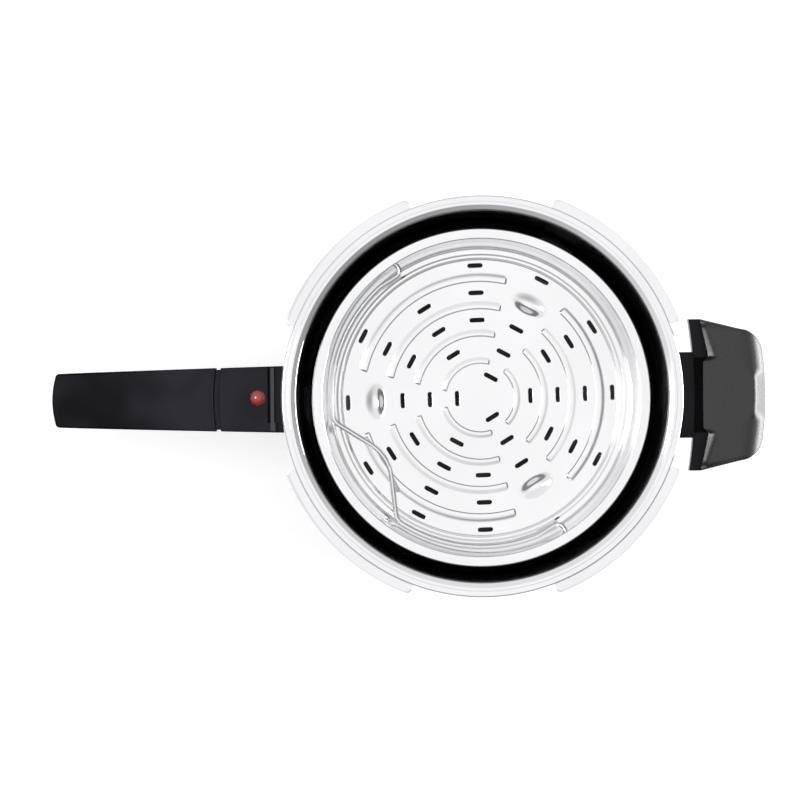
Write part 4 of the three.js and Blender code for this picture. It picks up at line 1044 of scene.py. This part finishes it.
solidLooks = {
    "base_core": castAluminium,
    **dict.fromkeys(("handle_bracket", "helper_bracket", "trivet"), sheetSteel),
    **dict.fromkeys(("front_nut", "grip_nut", "front_screw", "grip_screw", "front_washer", "grip_washer",
                     "helper_screw_a", "helper_screw_b", "helper_washer_a", "helper_washer_b"), zincSteel),
}
for nodeName, finish in solidLooks.items():
    nodes[nodeName].data.materials.clear()
    nodes[nodeName].data.materials.append(finish)
print("solids dressed")


# Floor, light and camera

studio = {
    "floorSize": 8.0, "floorColour": (0.86, 0.86, 0.86), "floorGlow": 0.42,
    "boxes": {
        "keyBox": {"size": (1.00, 0.90), "at": (0.20, 0.0, 1.25), "towards": (0.20, 0.0, 0.0),
                   "radiance": 0.16},
        "rightBox": {"size": (0.56, 0.16), "at": (0.95, 0.0, 0.40), "towards": (0.16, 0.0, 0.125),
                     "radiance": 25.0},
        "leftBox": {"size": (0.13, 0.13), "at": (-0.32, 0.03, 0.59), "towards": (-0.133, 0.0, 0.127),
                    "radiance": 12.0},
    },
    "skyLean": (-0.20, 0.24, 0.95),
    "skyBlue": 1.01, "sky": [(0.0, 0.16), (0.3, 0.28), (0.5, 0.52), (0.7, 0.80), (0.9, 0.88)],
    "distance": 2.0, "frameWidth": 0.472, "sensor": 36.0, "roll": math.radians(-0.39),
    "cameraAt": (-0.04869, -0.00185),
}


# white floor that glows only for the camera and in reflections
def makeFloor(p):
    half = p["floorSize"] / 2
    mesh = bpy.data.meshes.new("studioFloor")
    corners = [(-half, -half, 0), (half, -half, 0), (half, half, 0), (-half, half, 0)]
    mesh.from_pydata(corners, [], [(0, 1, 2, 3)])
    finish, tree, shader = newFinish("floorPaint", {"Base Color": (*p["floorColour"], 1), "Roughness": 0.9,
                                                    "Emission Color": (1, 1, 1, 1)})
    path = addNode(tree, "ShaderNodeLightPath")
    rays = {0: path.outputs["Is Camera Ray"], 1: path.outputs["Is Glossy Ray"]}
    seen = addNode(tree, "ShaderNodeMath", rays, operation="MAXIMUM")
    glow = addNode(tree, "ShaderNodeMath", {0: seen.outputs[0], 1: p["floorGlow"]}, operation="MULTIPLY")
    tree.links.new(glow.outputs[0], shader.inputs["Emission Strength"])
    mesh.materials.append(finish)
    floor = bpy.data.objects.new("studioFloor", mesh)
    scene.collection.objects.link(floor)


# lit rectangle, power = radiance * pi * area
def addSoftbox(name, p):
    lamp = bpy.data.lights.new(name, "AREA")
    lamp.shape = "RECTANGLE"
    lamp.size, lamp.size_y = p["size"]
    lamp.energy = p["radiance"] * math.pi * p["size"][0] * p["size"][1]
    box = bpy.data.objects.new(name, lamp)
    scene.collection.objects.link(box)
    box.location = p["at"]
    aim = Vector(p["towards"]) - box.location
    box.rotation_euler = aim.to_track_quat("-Z", "Y").to_euler()
    box.visible_camera = False


# the sky's level goes by the cosine to a leaning axis, so that it is darker low down on the near right
def makeSky(p):
    levels = p["sky"]
    world = bpy.data.worlds.new("studioSky")
    scene.world = world
    world.use_nodes = True
    tree = world.node_tree
    back = tree.nodes["Background"]
    way = addNode(tree, "ShaderNodeTexCoord").outputs["Generated"]
    up = addNode(tree, "ShaderNodeVectorMath", {0: way, 1: p["skyLean"]}, operation="DOT_PRODUCT")
    ramp = addNode(tree, "ShaderNodeValToRGB", {"Fac": up.outputs["Value"]})
    while len(ramp.color_ramp.elements) < len(levels):
        ramp.color_ramp.elements.new(0.5)
    for element, (height, level) in zip(ramp.color_ramp.elements, levels):
        element.position = height
        element.color = (level, level, level * p["skyBlue"], 1)
    path = addNode(tree, "ShaderNodeLightPath")
    inputs = {0: path.outputs["Is Camera Ray"], 6: ramp.outputs["Color"], 7: (1, 1, 1, 1)}
    shown = addNode(tree, "ShaderNodeMix", inputs, data_type="RGBA")  # the camera itself sees white
    tree.links.new(shown.outputs[2], back.inputs["Color"])


# camera straight above; lens length = sensor * distance / width of the frame at the rim
def makeCamera(p):
    lens = bpy.data.cameras.new("topCamera")
    lens.sensor_width = p["sensor"]
    lens.lens = p["sensor"] * p["distance"] / p["frameWidth"]
    lens.clip_end = 50
    camera = bpy.data.objects.new("topCamera", lens)
    scene.collection.objects.link(camera)
    camera.location = (*p["cameraAt"], pot["rimTop"] * mm + p["distance"])
    camera.rotation_euler = (0, 0, p["roll"])
    scene.camera = camera


makeFloor(studio)
for boxName, box in studio["boxes"].items():
    addSoftbox(boxName, box)
makeSky(studio)
makeCamera(studio)
scene.view_settings.view_transform = "Standard"
print("studio made")
